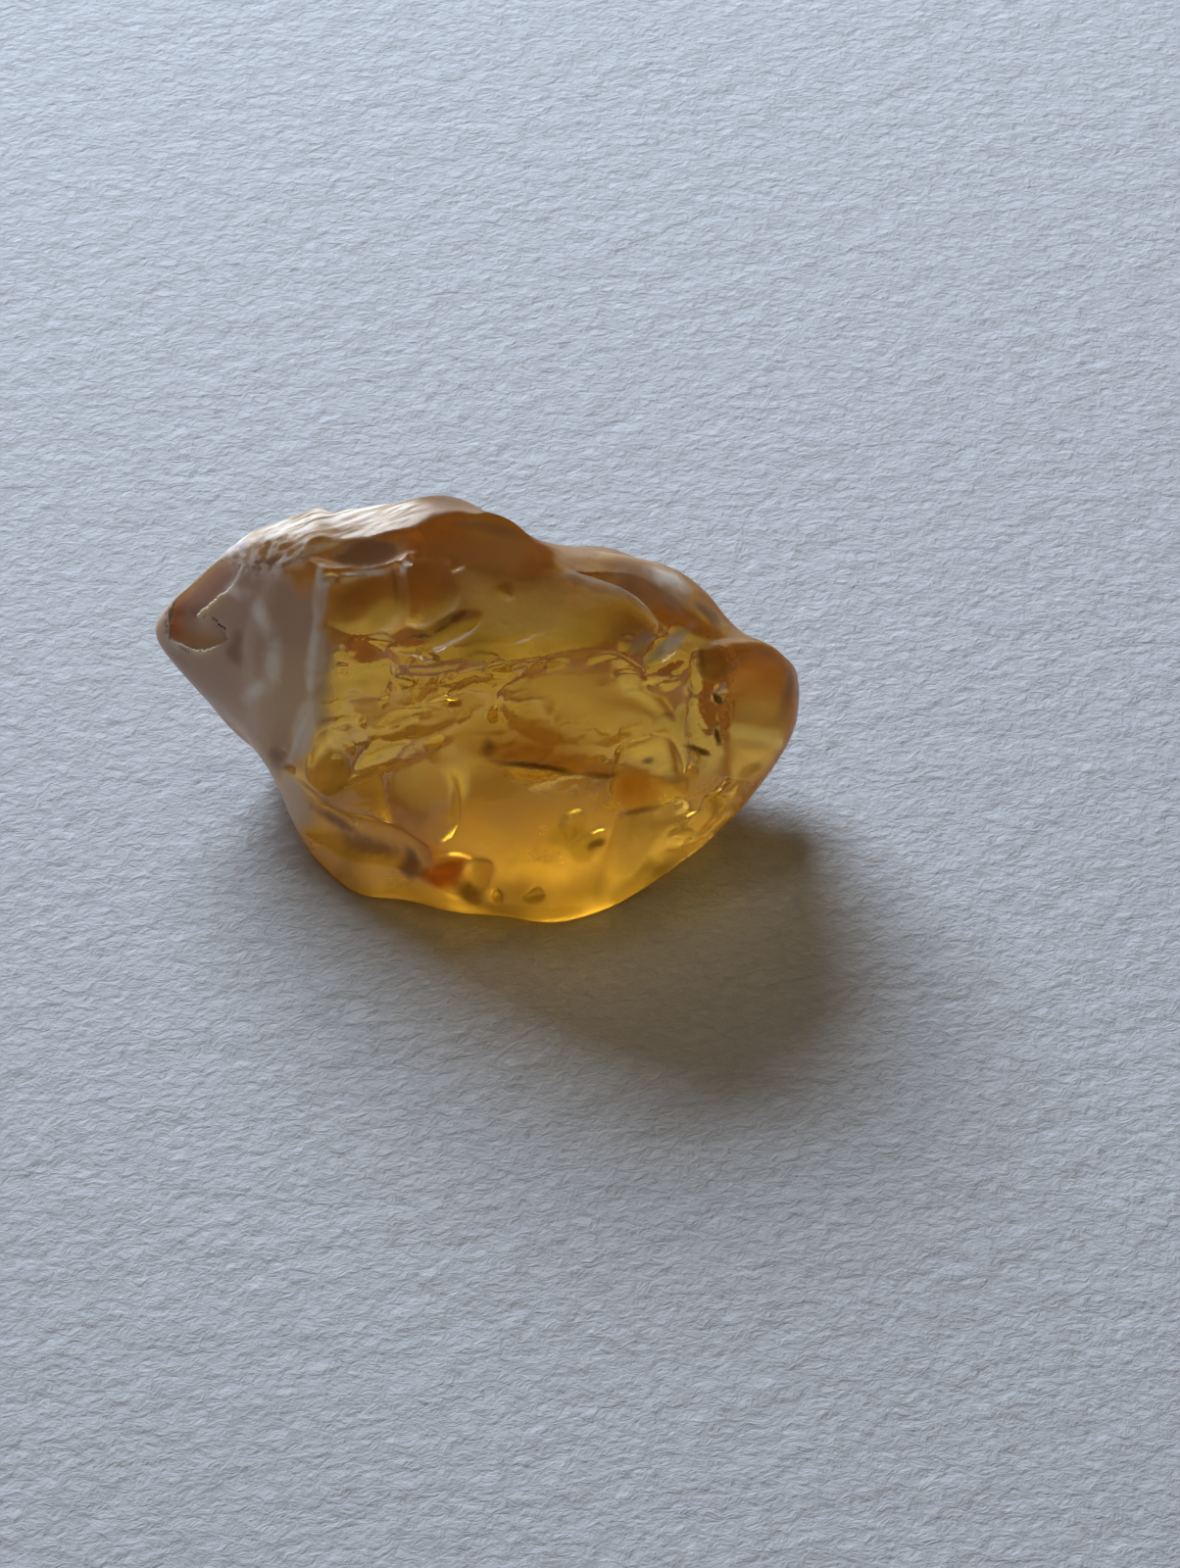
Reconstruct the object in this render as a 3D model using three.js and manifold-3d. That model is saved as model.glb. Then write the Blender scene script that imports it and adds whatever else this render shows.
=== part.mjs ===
// Rough zircon: one water-worn piece of an amber crystal, about 12 mm long.
//
// The stone is one solid. Four lobes grown together give its form: the body, a blunt knob on the left, a
// low lobe behind and a rounded lobe on the right. Each lobe is a worn polyhedron: flat faces at a given
// distance from the lobe's heart, with the edges between them worn round. Steps, coves, hollows and chips
// are then taken out of it, and the underside is a flat face to rest on.
//
// Millimetres. +X is the stone's length, the showing side faces -Y, +Z is up. The origin is the middle of
// the stone's bounding box, at the level of the flat underside.

import * as THREE from "three";
import { mergeVertices } from "three/addons/utils/BufferGeometryUtils.js";
import Module from "manifold-3d";

const wasm = await Module();
wasm.setup();

// ---- Driving dimensions -------------------------------------------------------------------------------

// A face is [azimuth, elevation, reach]: the compass direction that it looks in (degrees from +X,
// anticlockwise seen from above), how far it looks up (degrees), and its distance from the lobe's heart (mm).
// wear is how crisp the edges are: about 10 is well rounded, 26 is only just blunted. detail is how many
// times each side of the ball of triangles behind a lobe, chip or bump is divided.

const BODY = {
  heart: [0.3, 0.3, 2.9],
  wear: 26,
  detail: 11,
  faces: [
    [0, -90, 2.96], // underside
    [-89, 24, 2.02], // front
    [-88, 61, 2.29], // dome
    [-62, 20, 2.31], // front, right half
    [-21, 31, 3.51], // right shoulder
    [-6, -12, 4.4], // right end
    [-125, 36, 1.87], // front, left half
    [-130, 20, 2.22], // narrow bevel left of it
    [-169, 75, 2.96], // top ledge
    [-111, -13, 3.74], // low facet at the left foot
    [-166, -12, 4.18], // left foot
    [-151, -27, 6], // low corner of the left foot
    [-111, -46, 5.9], // front foot, turning round to the right
    [-87, -49, 4.18],
    [-55, -43, 5.1],
    [-40, -36, 4.62],
    [43, 41, 2.66], // slopes behind the dome
    [24, 29, 3.47],
    [61, 49, 3.09],
    [90, 53, 3.63],
    [58, 15, 2.29], // back
    [90, 12, 2.86],
    [148, 12, 4.28],
    [90, -41, 3.47], // back foot
  ],
};

const KNOB = {
  heart: [-3.3, 1.9, 3.0],
  wear: 13,
  detail: 7,
  faces: [
    [-135, 20, 1.2], // long left face
    [-127, 32, 1.15],
    [-175, 76, 2.1], // top ledge
    [116, 50, 2.31], // behind the ledge
    [148, 38, 2],
    [158, 30, 2.58], // tip of the knob
    [-177, 3, 3.74],
    [-154, -24, 4.24], // underside of the knob
    [-142, -34, 2.06],
    [165, -50, 2.75],
    [120, -45, 2.15],
    [125, 5, 2.75], // back
    [98, 10, 1.45],
    [52, 2, 1.5], // bevel between the back and the body
    [0, 18, 1.23], // inside the body
  ],
};

const BACK_LOBE = {
  heart: [2.4, 1.9, 2.7],
  wear: 16,
  detail: 7,
  faces: [
    [0, -90, 2.76], // underside
    [-40, 67, 2.47], // top
    [-8, 41, 2.45],
    [104, 52, 1.95], // upper edge, left to right
    [74, 51, 1.7],
    [47, 44, 1.87],
    [20, 25, 2.81],
    [39, 6, 1.52], // back
    [84, 9, 1.29],
    [82, -41, 2.12], // back foot
    [-19, -24, 2.53],
    [-30, -30, 2.92],
    [180, 0, 2.2], // inside the body
    [-90, 0, 1.3],
  ],
};

const RIGHT_LOBE = {
  heart: [4.1, 0.2, 2.2],
  wear: 14,
  detail: 7,
  faces: [
    [-62, 20, 0.77], // front
    [-36, 21, 1.36],
    [-90, 37, 1.44],
    [0, 78, 1.72], // top
    [55, 46, 1.8], // outer edge, from the top round to the foot
    [28, 32, 2.18],
    [-1, 2, 1.78],
    [-13, -13, 1.61],
    [-30, -29, 1.52],
    [-43, -38, 3],
    [-55, -43, 2.16],
    [90, -84, 1.69], // underside
    [78, 6, 1.7], // back
    [180, 0, 1.5], // inside the body
  ],
};

// A mark is a bump or a hollow on the surface: the point under its middle, the azimuth and elevation that
// it faces, the turn of its long axis from level (degrees), and its half length, half width and depth.

const BUMPS = [
  { name: "tongue in the cove", at: [2.21, -1.19, 3.59], faces: [-62, 20], turn: -4, size: [1.1, 0.37, 0.2] },
  { name: "leaf at its end", at: [2.92, -0.97, 3.23], faces: [-63, 21], turn: 15, size: [0.45, 0.28, 0.16] },
  { name: "low bulge", at: [-1.05, -1.92, 2.29], faces: [-128, 23], turn: 74, size: [0.71, 0.8, 0.14] },
];

const HOLLOWS = [
  { name: "cove", at: [1.76, -1.44, 3.57], faces: [-44, 52], turn: -36, size: [2.09, 1.07, 0.5] },
  { name: "cove floor", at: [1.34, -1.77, 3.16], faces: [-61, 55], turn: -27, size: [1.57, 0.37, 0.4] },
  { name: "round scoop", at: [2.97, -1.41, 2.13], faces: [-64, 42], turn: 2, size: [0.89, 0.75, 0.42] },
  { name: "left recess", at: [-2.02, 0.58, 4.56], faces: [-132, 45], turn: 34, size: [1.0, 0.73, 0.26] },
  { name: "dome bite", at: [-0.87, 0.23, 5.06], faces: [-125, 37], turn: 79, size: [0.71, 0.69, 0.18] },
  { name: "under the ledge", at: [-1.95, 1.33, 5.36], faces: [-133, 54], turn: 35, size: [1.24, 0.48, 0.22] },
  { name: "side hollow", at: [-2.2, -0.31, 3.4], faces: [-126, 32], turn: 22, size: [0.94, 1.13, 0.22] },
  { name: "side chip", at: [-2.31, -0.76, 2.55], faces: [-129, 22], turn: 71, size: [0.99, 0.48, 0.2] },
  { name: "low groove", at: [-1.89, -1.85, 0.98], faces: [-133, 33], turn: 14, size: [1.98, 0.51, 0.26] },
  { name: "low right", at: [3.21, -1.76, 0.99], faces: [-62, 19], turn: 46, size: [1.27, 1.04, 0.22] },
  { name: "edge sliver", at: [4.06, -1.22, 1.14], faces: [-58, 17], turn: 23, size: [1.04, 0.25, 0.16] },
  { name: "lobe triangle", at: [4.15, -0.05, 3.75], faces: [-61, 26], turn: -28, size: [0.37, 0.55, 0.2] },
  { name: "shoulder sliver", at: [3.48, -0.11, 4.32], faces: [-30, 34], turn: 4, size: [0.82, 0.19, 0.2] },
  { name: "knob flat", at: [-5.15, 2.2, 2.79], faces: [-135, 20], turn: 21, size: [0.77, 0.37, 0.1] },
  { name: "stain pit", at: [-0.39, -2.72, 1.08], faces: [-86, 31], turn: -33, size: [0.66, 0.53, 0.32] },
  { name: "wave", at: [-0.8, -0.27, 4.56], faces: [-150, 53], turn: 57, size: [1.06, 0.3, 0.16] },
  { name: "step one", at: [-1.16, -0.76, 3.74], faces: [-148, 57], turn: 47, size: [1.53, 0.33, 0.18] },
  { name: "step two", at: [0.61, -1.27, 4.29], faces: [-101, 52], turn: 16, size: [1.28, 0.28, 0.16] },
  { name: "step three", at: [-0.98, -1.25, 3.32], faces: [-149, 55], turn: 49, size: [1.37, 0.31, 0.18] },
  { name: "step four", at: [-1.52, -1.35, 2.64], faces: [-146, 41], turn: 48, size: [1.28, 0.27, 0.15] },
  { name: "crest step", at: [2.0, -0.98, 4.37], faces: [-59, 46], turn: -11, size: [1.18, 0.27, 0.18] },
  { name: "step at the tongue", at: [2.88, -0.81, 3.65], faces: [-63, 40], turn: 2, size: [0.98, 0.32, 0.14] },
  { name: "lobe groove", at: [4.03, -0.48, 3.01], faces: [-60, 21], turn: -14, size: [0.25, 0.99, 0.1] },
  { name: "knob shoulder", at: [-4.93, 2.41, 3.62], faces: [-137, 21], turn: 57, size: [1.07, 0.28, 0.1] },
  { name: "valley", at: [2.71, 0.63, 4.75], faces: [-75, 25], turn: -31, size: [1.14, 0.29, 0.12] },
];

// Long, low waves that leave no face quite flat and no edge quite straight: the phase that a wave gains
// per millimetre along each axis, its phase at the origin, and how far it shifts the surface.
const WAVES = [
  { along: [0.9, 1.7, 0.8], start: 0.4, shift: [0.04, 0.03, 0.05] },
  { along: [-1.6, 0.6, 1.9], start: 2.1, shift: [0.03, 0.045, 0.03] },
  { along: [2.9, -1.8, 1.2], start: 1.2, shift: [0.02, 0.025, 0.03] },
  { along: [1.4, 2.6, -3.1], start: 5.0, shift: [0.02, 0.02, 0.015] },
];

const SINK = 0.5; // how far a mark's centre stands off the surface, as a share of its own depth radius
const BUMP_DETAIL = 3;
const CHIP_FACES = 12; // faces of the broken shape that a hollow leaves
const CHIP_WEAR = 9;
const CHIP_DETAIL = 2;
const CHIP_REACH = 0.9; // how far a chip's faces are from its middle, as a share of its radius
const CHIP_UNEVEN = 0.1; // how much that varies from face to face
const CHIP_STEP = 3.7; // radians by which the variation moves on from one face to the next
const CHIP_SEED_STEP = 5.1; // and from one chip to the next
const CHIP_SEED_TURN = 1.7; // radians that each chip is turned from the one before
const GOLDEN_ANGLE = 2.39996; // radians, spreads the chip's faces evenly
const FLOOR_BLOCK = 20; // side of the block that cuts the underside flat
const AMBER = 0xa06a22;

// ---- Shapes -------------------------------------------------------------------------------------------

const radians = THREE.MathUtils.degToRad;

// The unit vector that looks along an azimuth and an elevation.
function direction(azimuth, elevation) {
  const level = Math.cos(radians(elevation));
  return new THREE.Vector3(
    level * Math.cos(radians(azimuth)),
    level * Math.sin(radians(azimuth)),
    Math.sin(radians(elevation)),
  );
}

// How far a worn polyhedron reaches along a unit vector. Its faces are [normal, distance].
function reachAlong(unit, faces, wear) {
  let sum = 0;
  for (const [normal, distance] of faces) {
    sum += Math.max(0, normal.dot(unit) / distance) ** wear;
  }
  return sum ** (-1 / wear);
}

// A closed ball of triangles whose radius follows the worn polyhedron.
function wornPolyhedron(faces, wear, detail) {
  const ball = new THREE.IcosahedronGeometry(1, detail);
  const places = ball.attributes.position;
  const point = new THREE.Vector3();
  for (let i = 0; i < places.count; i += 1) {
    point.fromBufferAttribute(places, i).normalize();
    point.multiplyScalar(reachAlong(point, faces, wear));
    places.setXYZ(i, point.x, point.y, point.z);
  }
  return ball;
}

// A manifold solid from a closed geometry, with its shared vertices merged.
function solid(geometry) {
  const bare = geometry.clone();
  bare.deleteAttribute("normal");
  bare.deleteAttribute("uv");
  const merged = mergeVertices(bare);
  return new wasm.Manifold(
    new wasm.Mesh({
      numProp: 3,
      vertProperties: new Float32Array(merged.attributes.position.array),
      triVerts: new Uint32Array(merged.index.array),
    }),
  );
}

function lobe({ heart, wear, detail, faces }) {
  const planes = faces.map(([azimuth, elevation, reach]) => [direction(azimuth, elevation), reach]);
  return solid(wornPolyhedron(planes, wear, detail).translate(...heart));
}

// The faces of a broken chip of unit size; each seed gives another chip.
function chipFaces(seed) {
  const faces = [];
  for (let i = 0; i < CHIP_FACES; i += 1) {
    const height = 1 - (2 * i + 1) / CHIP_FACES;
    const level = Math.sqrt(1 - height * height);
    const angle = i * GOLDEN_ANGLE + seed * CHIP_SEED_TURN;
    const normal = new THREE.Vector3(level * Math.cos(angle), level * Math.sin(angle), height);
    const swing = Math.sin(CHIP_STEP * i + CHIP_SEED_STEP * seed);
    faces.push([normal, CHIP_REACH + CHIP_UNEVEN * swing]);
  }
  return faces;
}

// Puts a unit shape where a mark is. side is +1 for a hollow, whose centre is outside the stone, or -1 for
// a bump. The shape is scaled so that what lies past the surface has the mark's length, width and depth.
function placeMark(shape, { at, faces, turn, size }, side) {
  const [halfLength, halfWidth, depth] = size;
  const outward = direction(...faces);
  const level = new THREE.Vector3(0, 0, 1).cross(outward).normalize();
  const rising = outward.clone().cross(level);
  const along = level.clone().multiplyScalar(Math.cos(radians(turn)));
  along.addScaledVector(rising, Math.sin(radians(turn)));
  const across = outward.clone().cross(along);
  const spread = Math.sqrt(1 - SINK * SINK);
  const depthRadius = depth / (1 - SINK);
  const centre = new THREE.Vector3(...at).addScaledVector(outward, side * SINK * depthRadius);
  shape.scale(halfLength / spread, halfWidth / spread, depthRadius);
  shape.applyMatrix4(new THREE.Matrix4().makeBasis(along, across, outward));
  return shape.translate(...centre);
}

function bump(mark) {
  return solid(placeMark(new THREE.IcosahedronGeometry(1, BUMP_DETAIL), mark, -1));
}

function hollow(mark, seed) {
  return solid(placeMark(wornPolyhedron(chipFaces(seed), CHIP_WEAR, CHIP_DETAIL), mark, 1));
}

function belowFloor() {
  const block = new THREE.BoxGeometry(FLOOR_BLOCK, FLOOR_BLOCK, FLOOR_BLOCK);
  return solid(block.translate(0, 0, -FLOOR_BLOCK / 2));
}

// Moves every vertex of a solid with the waves.
function waved(rough) {
  const { vertProperties, triVerts } = rough.getMesh();
  const point = new THREE.Vector3();
  const moved = new Float32Array(vertProperties);
  for (let i = 0; i < moved.length; i += 3) {
    point.fromArray(vertProperties, i);
    for (const { along, start, shift } of WAVES) {
      const swing = Math.sin(point.dot(new THREE.Vector3(...along)) + start);
      for (let axis = 0; axis < 3; axis += 1) {
        moved[i + axis] += shift[axis] * swing;
      }
    }
  }
  return new wasm.Manifold(new wasm.Mesh({ numProp: 3, vertProperties: moved, triVerts }));
}

// ---- The stone ----------------------------------------------------------------------------------------

let stone = lobe(BODY);
for (const grown of [KNOB, BACK_LOBE, RIGHT_LOBE]) {
  stone = stone.add(lobe(grown));
}
for (const mark of BUMPS) {
  stone = stone.add(bump(mark));
}
HOLLOWS.forEach((mark, index) => {
  stone = stone.subtract(hollow(mark, BUMPS.length + index));
});
stone = waved(stone).subtract(belowFloor());

const cut = stone.getMesh();
const geometry = new THREE.BufferGeometry();
geometry.setAttribute("position", new THREE.BufferAttribute(cut.vertProperties, 3));
geometry.setIndex(new THREE.BufferAttribute(cut.triVerts, 1));
geometry.computeBoundingBox();
const middle = geometry.boundingBox.getCenter(new THREE.Vector3());
geometry.translate(-middle.x, -middle.y, 0);
geometry.computeVertexNormals();

const material = new THREE.MeshStandardMaterial({ color: AMBER, roughness: 0.2, metalness: 0 });
const zircon = new THREE.Mesh(geometry, material);
zircon.name = "zircon";

const group = new THREE.Group();
group.add(zircon);

export default group;
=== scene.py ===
"""Rough zircon: one glassy, water-worn piece of amber crystal, finished for rendering.

The stone is a field of worn lobes with steps, coves and chips taken out of it. The field is meshed finely,
given its fine weathering by a Geometry Nodes tree, and finished as clear amber crystal with frosted,
veiled and iron-stained places, with painted shade, painted highlights and painted reflections laid over
it in patches. Lists are in millimetres, everything that Blender holds is in metres.
"""

import math

import bpy
import numpy as np
from bpy.props import FloatProperty, FloatVectorProperty, IntProperty, PointerProperty
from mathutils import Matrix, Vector


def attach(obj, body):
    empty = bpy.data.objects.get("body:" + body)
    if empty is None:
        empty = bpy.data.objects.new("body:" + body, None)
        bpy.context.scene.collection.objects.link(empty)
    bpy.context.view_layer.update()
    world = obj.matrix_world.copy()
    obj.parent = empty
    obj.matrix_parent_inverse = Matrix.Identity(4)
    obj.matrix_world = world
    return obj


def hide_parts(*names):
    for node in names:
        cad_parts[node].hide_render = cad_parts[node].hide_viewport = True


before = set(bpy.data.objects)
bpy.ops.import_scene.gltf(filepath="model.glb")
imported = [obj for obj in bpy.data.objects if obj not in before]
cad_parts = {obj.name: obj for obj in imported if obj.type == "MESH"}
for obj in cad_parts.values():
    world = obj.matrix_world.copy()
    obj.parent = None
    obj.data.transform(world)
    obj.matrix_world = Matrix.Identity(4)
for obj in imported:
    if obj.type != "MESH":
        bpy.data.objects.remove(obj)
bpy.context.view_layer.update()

bl_info = {
    "name": "Rough zircon",
    "version": (1, 0, 0),
    "blender": (4, 5, 0),
    "location": "3D View > Sidebar > Zircon",
    "description": "A rough, water-worn amber zircon and a small paper stage for it",
    "category": "Add Mesh",
}

MM = 0.001
MIDDLE = np.array((-0.029, 0.315, 0.0))  # middle of the stone, in the frame that the lists below are in

# ---- The stone's form ---------------------------------------------------------------------------------

# A face is (azimuth, elevation, reach): the way that it looks, in degrees, and how far it is from the
# lobe's heart. wear is how crisp the edges between the faces are.

BODY = {
    "heart": (0.3, 0.3, 2.9),
    "wear": 26,
    "faces": (
        (0, -90, 2.96), (-89, 24, 2.02), (-88, 61, 2.29), (-62, 20, 2.31), (-21, 31, 3.51),
        (-6, -12, 4.4), (-125, 36, 1.87), (-130, 20, 2.22), (-169, 75, 2.96), (-111, -13, 3.74),
        (-166, -12, 4.18), (-151, -27, 6), (-111, -46, 5.9), (-87, -49, 4.18), (-55, -43, 5.1),
        (-40, -36, 4.62), (43, 41, 2.66), (24, 29, 3.47), (61, 49, 3.09), (90, 53, 3.63),
        (58, 15, 2.29), (90, 12, 2.86), (148, 12, 4.28), (90, -41, 3.47),
    ),
}

KNOB = {
    "heart": (-3.3, 1.9, 3),
    "wear": 13,
    "faces": (
        (-135, 20, 1.2), (-127, 32, 1.15), (-175, 76, 2.1), (116, 50, 2.31), (148, 38, 2),
        (158, 30, 2.58), (-177, 3, 3.74), (-154, -24, 4.24), (-142, -34, 2.06), (165, -50, 2.75),
        (120, -45, 2.15), (125, 5, 2.75), (98, 10, 1.45), (52, 2, 1.5), (0, 18, 1.23),
    ),
}

BACK_LOBE = {
    "heart": (2.4, 1.9, 2.7),
    "wear": 16,
    "faces": (
        (0, -90, 2.76), (-40, 67, 2.47), (-8, 41, 2.45), (104, 52, 1.95), (74, 51, 1.7),
        (47, 44, 1.87), (20, 25, 2.81), (39, 6, 1.52), (84, 9, 1.29), (82, -41, 2.12),
        (-19, -24, 2.53), (-30, -30, 2.92), (180, 0, 2.2), (-90, 0, 1.3),
    ),
}

RIGHT_LOBE = {
    "heart": (4.1, 0.2, 2.2),
    "wear": 14,
    "faces": (
        (-62, 20, 0.77), (-36, 21, 1.36), (-90, 37, 1.44), (0, 78, 1.72), (55, 46, 1.8),
        (28, 32, 2.18), (-1, 2, 1.78), (-13, -13, 1.61), (-30, -29, 1.52), (-43, -38, 3),
        (-55, -43, 2.16), (90, -84, 1.69), (78, 6, 1.7), (180, 0, 1.5),
    ),
}

BUMPS = (
    ("tongue in the cove", (2.21, -1.19, 3.59), (-62, 20), -4, (1.1, 0.37, 0.2)),
    ("leaf at its end", (2.92, -0.97, 3.23), (-63, 21), 15, (0.45, 0.28, 0.16)),
    ("low bulge", (-1.05, -1.92, 2.29), (-128, 23), 74, (0.71, 0.8, 0.14)),
)

HOLLOWS = (
    ("cove", (1.76, -1.44, 3.57), (-44, 52), -36, (2.09, 1.07, 0.5)),
    ("cove floor", (1.34, -1.77, 3.16), (-61, 55), -27, (1.57, 0.37, 0.4)),
    ("round scoop", (2.97, -1.41, 2.13), (-64, 42), 2, (0.89, 0.75, 0.42)),
    ("left recess", (-2.02, 0.58, 4.56), (-132, 45), 34, (1, 0.73, 0.26)),
    ("dome bite", (-0.87, 0.23, 5.06), (-125, 37), 79, (0.71, 0.69, 0.18)),
    ("under the ledge", (-1.95, 1.33, 5.36), (-133, 54), 35, (1.24, 0.48, 0.22)),
    ("side hollow", (-2.2, -0.31, 3.4), (-126, 32), 22, (0.94, 1.13, 0.22)),
    ("side chip", (-2.31, -0.76, 2.55), (-129, 22), 71, (0.99, 0.48, 0.2)),
    ("low groove", (-1.89, -1.85, 0.98), (-133, 33), 14, (1.98, 0.51, 0.26)),
    ("low right", (3.21, -1.76, 0.99), (-62, 19), 46, (1.27, 1.04, 0.22)),
    ("edge sliver", (4.06, -1.22, 1.14), (-58, 17), 23, (1.04, 0.25, 0.16)),
    ("lobe triangle", (4.15, -0.05, 3.75), (-61, 26), -28, (0.37, 0.55, 0.2)),
    ("shoulder sliver", (3.48, -0.11, 4.32), (-30, 34), 4, (0.82, 0.19, 0.2)),
    ("knob flat", (-5.15, 2.2, 2.79), (-135, 20), 21, (0.77, 0.37, 0.1)),
    ("stain pit", (-0.39, -2.72, 1.08), (-86, 31), -33, (0.66, 0.53, 0.32)),
    ("wave", (-0.8, -0.27, 4.56), (-150, 53), 57, (1.06, 0.3, 0.16)),
    ("step one", (-1.16, -0.76, 3.74), (-148, 57), 47, (1.53, 0.33, 0.18)),
    ("step two", (0.61, -1.27, 4.29), (-101, 52), 16, (1.28, 0.28, 0.16)),
    ("step three", (-0.98, -1.25, 3.32), (-149, 55), 49, (1.37, 0.31, 0.18)),
    ("step four", (-1.52, -1.35, 2.64), (-146, 41), 48, (1.28, 0.27, 0.15)),
    ("crest step", (2, -0.98, 4.37), (-59, 46), -11, (1.18, 0.27, 0.18)),
    ("step at the tongue", (2.88, -0.81, 3.65), (-63, 40), 2, (0.98, 0.32, 0.14)),
    ("lobe groove", (4.03, -0.48, 3.01), (-60, 21), -14, (0.25, 0.99, 0.1)),
    ("knob shoulder", (-4.93, 2.41, 3.62), (-137, 21), 57, (1.07, 0.28, 0.1)),
    ("valley", (2.71, 0.63, 4.75), (-75, 25), -31, (1.14, 0.29, 0.12)),
)

WAVES = (
    ((0.9, 1.7, 0.8), 0.4, (0.04, 0.03, 0.05)),
    ((-1.6, 0.6, 1.9), 2.1, (0.03, 0.045, 0.03)),
    ((2.9, -1.8, 1.2), 1.2, (0.02, 0.025, 0.03)),
    ((1.4, 2.6, -3.1), 5, (0.02, 0.02, 0.015)),
)

# Small marks, too fine for the solid model.
SMALL_HOLLOWS = (
    ("edge sliver two", (4.45, -0.83, 1.51), (-57, 17), 26, (0.63, 0.18, 0.14)),
    ("lobe pit", (4.32, -0.23, 3.17), (-56, 22), -21, (0.13, 0.11, 0.16)),
    ("chip a", (-2.49, 0.21, 3.77), (-125, 34), 48, (0.22, 0.11, 0.12)),
    ("chip b", (-1.57, -2.15, 0.91), (-129, 19), 29, (0.22, 0.07, 0.1)),
    ("chip c", (0.29, -2.92, 0.55), (-91, 12), 1, (0.11, 0.1, 0.12)),
    ("chip d", (1.05, -2.84, 0.71), (-83, 21), 16, (0.24, 0.12, 0.14)),
    ("chip e", (1.7, -2.2, 1.76), (-65, 21), -17, (0.26, 0.27, 0.14)),
    ("chip f", (2.16, -2.11, 1.41), (-62, 20), 12, (0.25, 0.14, 0.12)),
    ("chip g", (2.7, -0.48, 4.66), (-61, 21), 1, (0.18, 0.12, 0.12)),
    ("dome streak", (-0.24, 0.55, 5.63), (-99, 63), 28, (0.24, 0.1, 0.05)),
    ("dome dimple", (0.57, 0.12, 5.41), (-88, 61), -1, (0.16, 0.14, 0.05)),
)

# Small flat ledges cut into the stone, whose floors all gleam towards the same side: the ledge's name, the
# middle of its lip, the way that it runs (degrees), and its half length and depth (mm).
STEPS = (
    ("white sliver, foot", (3.27, -0.25, 4.12), 46, (0.27, 0.24)),
    ("white sliver, middle", (3.44, 0.03, 4.16), 56, (0.27, 0.26)),
    ("white sliver, tip", (3.63, 0.5, 4.08), 64, (0.24, 0.2)),
    ("curved edge, left", (-2.67, 1.15, 4.77), 32, (0.26, 0.12)),
    ("curved edge, middle", (-2.09, 1.11, 4.97), -19, (0.53, 0.13)),
    ("curved edge, right", (-1.32, 0.84, 5.34), 40, (0.2, 0.15)),
    ("glint, upper", (-2.51, 0.31, 3.62), 32, (0.17, 0.15)),
    ("glint, lower", (-2.49, 0.15, 3.46), -5, (0.19, 0.1)),
    ("bright seam a", (-2.57, -0.7, 2.02), 40, (0.27, 0.14)),
    ("bright seam b", (-2.28, -0.74, 2.42), 50, (0.25, 0.12)),
    ("bright seam c", (-2.07, -0.7, 2.9), 60, (0.27, 0.1)),
    ("bright seam d", (-1.77, -0.58, 3.25), 23, (0.29, 0.1)),
    ("ridge line a", (0.34, -1.03, 4.32), 28, (0.37, 0.14)),
    ("ridge line b", (1.53, -0.79, 4.35), -14, (0.35, 0.12)),
    ("ridge line c", (2.32, -0.54, 4.31), 4, (0.33, 0.12)),
    ("ridge line d", (2.88, -0.53, 4.01), -8, (0.34, 0.1)),
    ("leaf edge", (2.88, -0.94, 2.98), 22, (0.37, 0.13)),
    ("foot sparkle a", (-3.5, -0.3, 1.99), -5, (0.13, 0.14)),
    ("foot sparkle b", (-3.41, -0.46, 1.71), 40, (0.17, 0.16)),
    ("foot sparkle c", (-3.94, 0.07, 1.59), -21, (0.15, 0.12)),
    ("bead a", (-1.52, -2.08, 0.87), -20, (0.1, 0.13)),
    ("bead b", (0.31, -2.87, 0.5), -20, (0.1, 0.13)),
    ("bead c", (1.14, -2.84, 0.71), -4, (0.17, 0.16)),
    ("slope gleam a", (4.33, -0.86, 1.35), 45, (0.37, 0.13)),
    ("slope gleam b", (3.93, -0.93, 2.05), 4, (0.13, 0.14)),
    ("slope gleam c", (4.51, -0.79, 1.52), 45, (0.16, 0.12)),
    ("slope gleam d", (3.92, -1.4, 0.59), 34, (0.49, 0.1)),
    ("pit gleam", (1.72, -2.17, 1.76), -20, (0.16, 0.14)),
    ("pit line", (2.04, -2.15, 1.46), 27, (0.33, 0.08)),
    ("stair a", (-1.52, -0.43, 3.61), -2, (0.52, 0.1)),
    ("stair b", (-0.81, -0.96, 3.54), 2, (0.63, 0.11)),
    ("stair c", (-0.13, -1.08, 4.13), 10, (0.4, 0.1)),
    ("stair d", (-1.79, 0.13, 4.02), -9, (0.38, 0.1)),
    ("stair e", (-0.87, -1.47, 3.05), 6, (0.51, 0.11)),
    ("stair f", (-1.16, -0.31, 4.23), -12, (0.59, 0.11)),
    ("stair g", (-0.45, -1.43, 3.47), 13, (0.36, 0.1)),
    ("cove side", (0.22, -1.56, 3.58), 69, (0.35, 0.1)),
)

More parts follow.
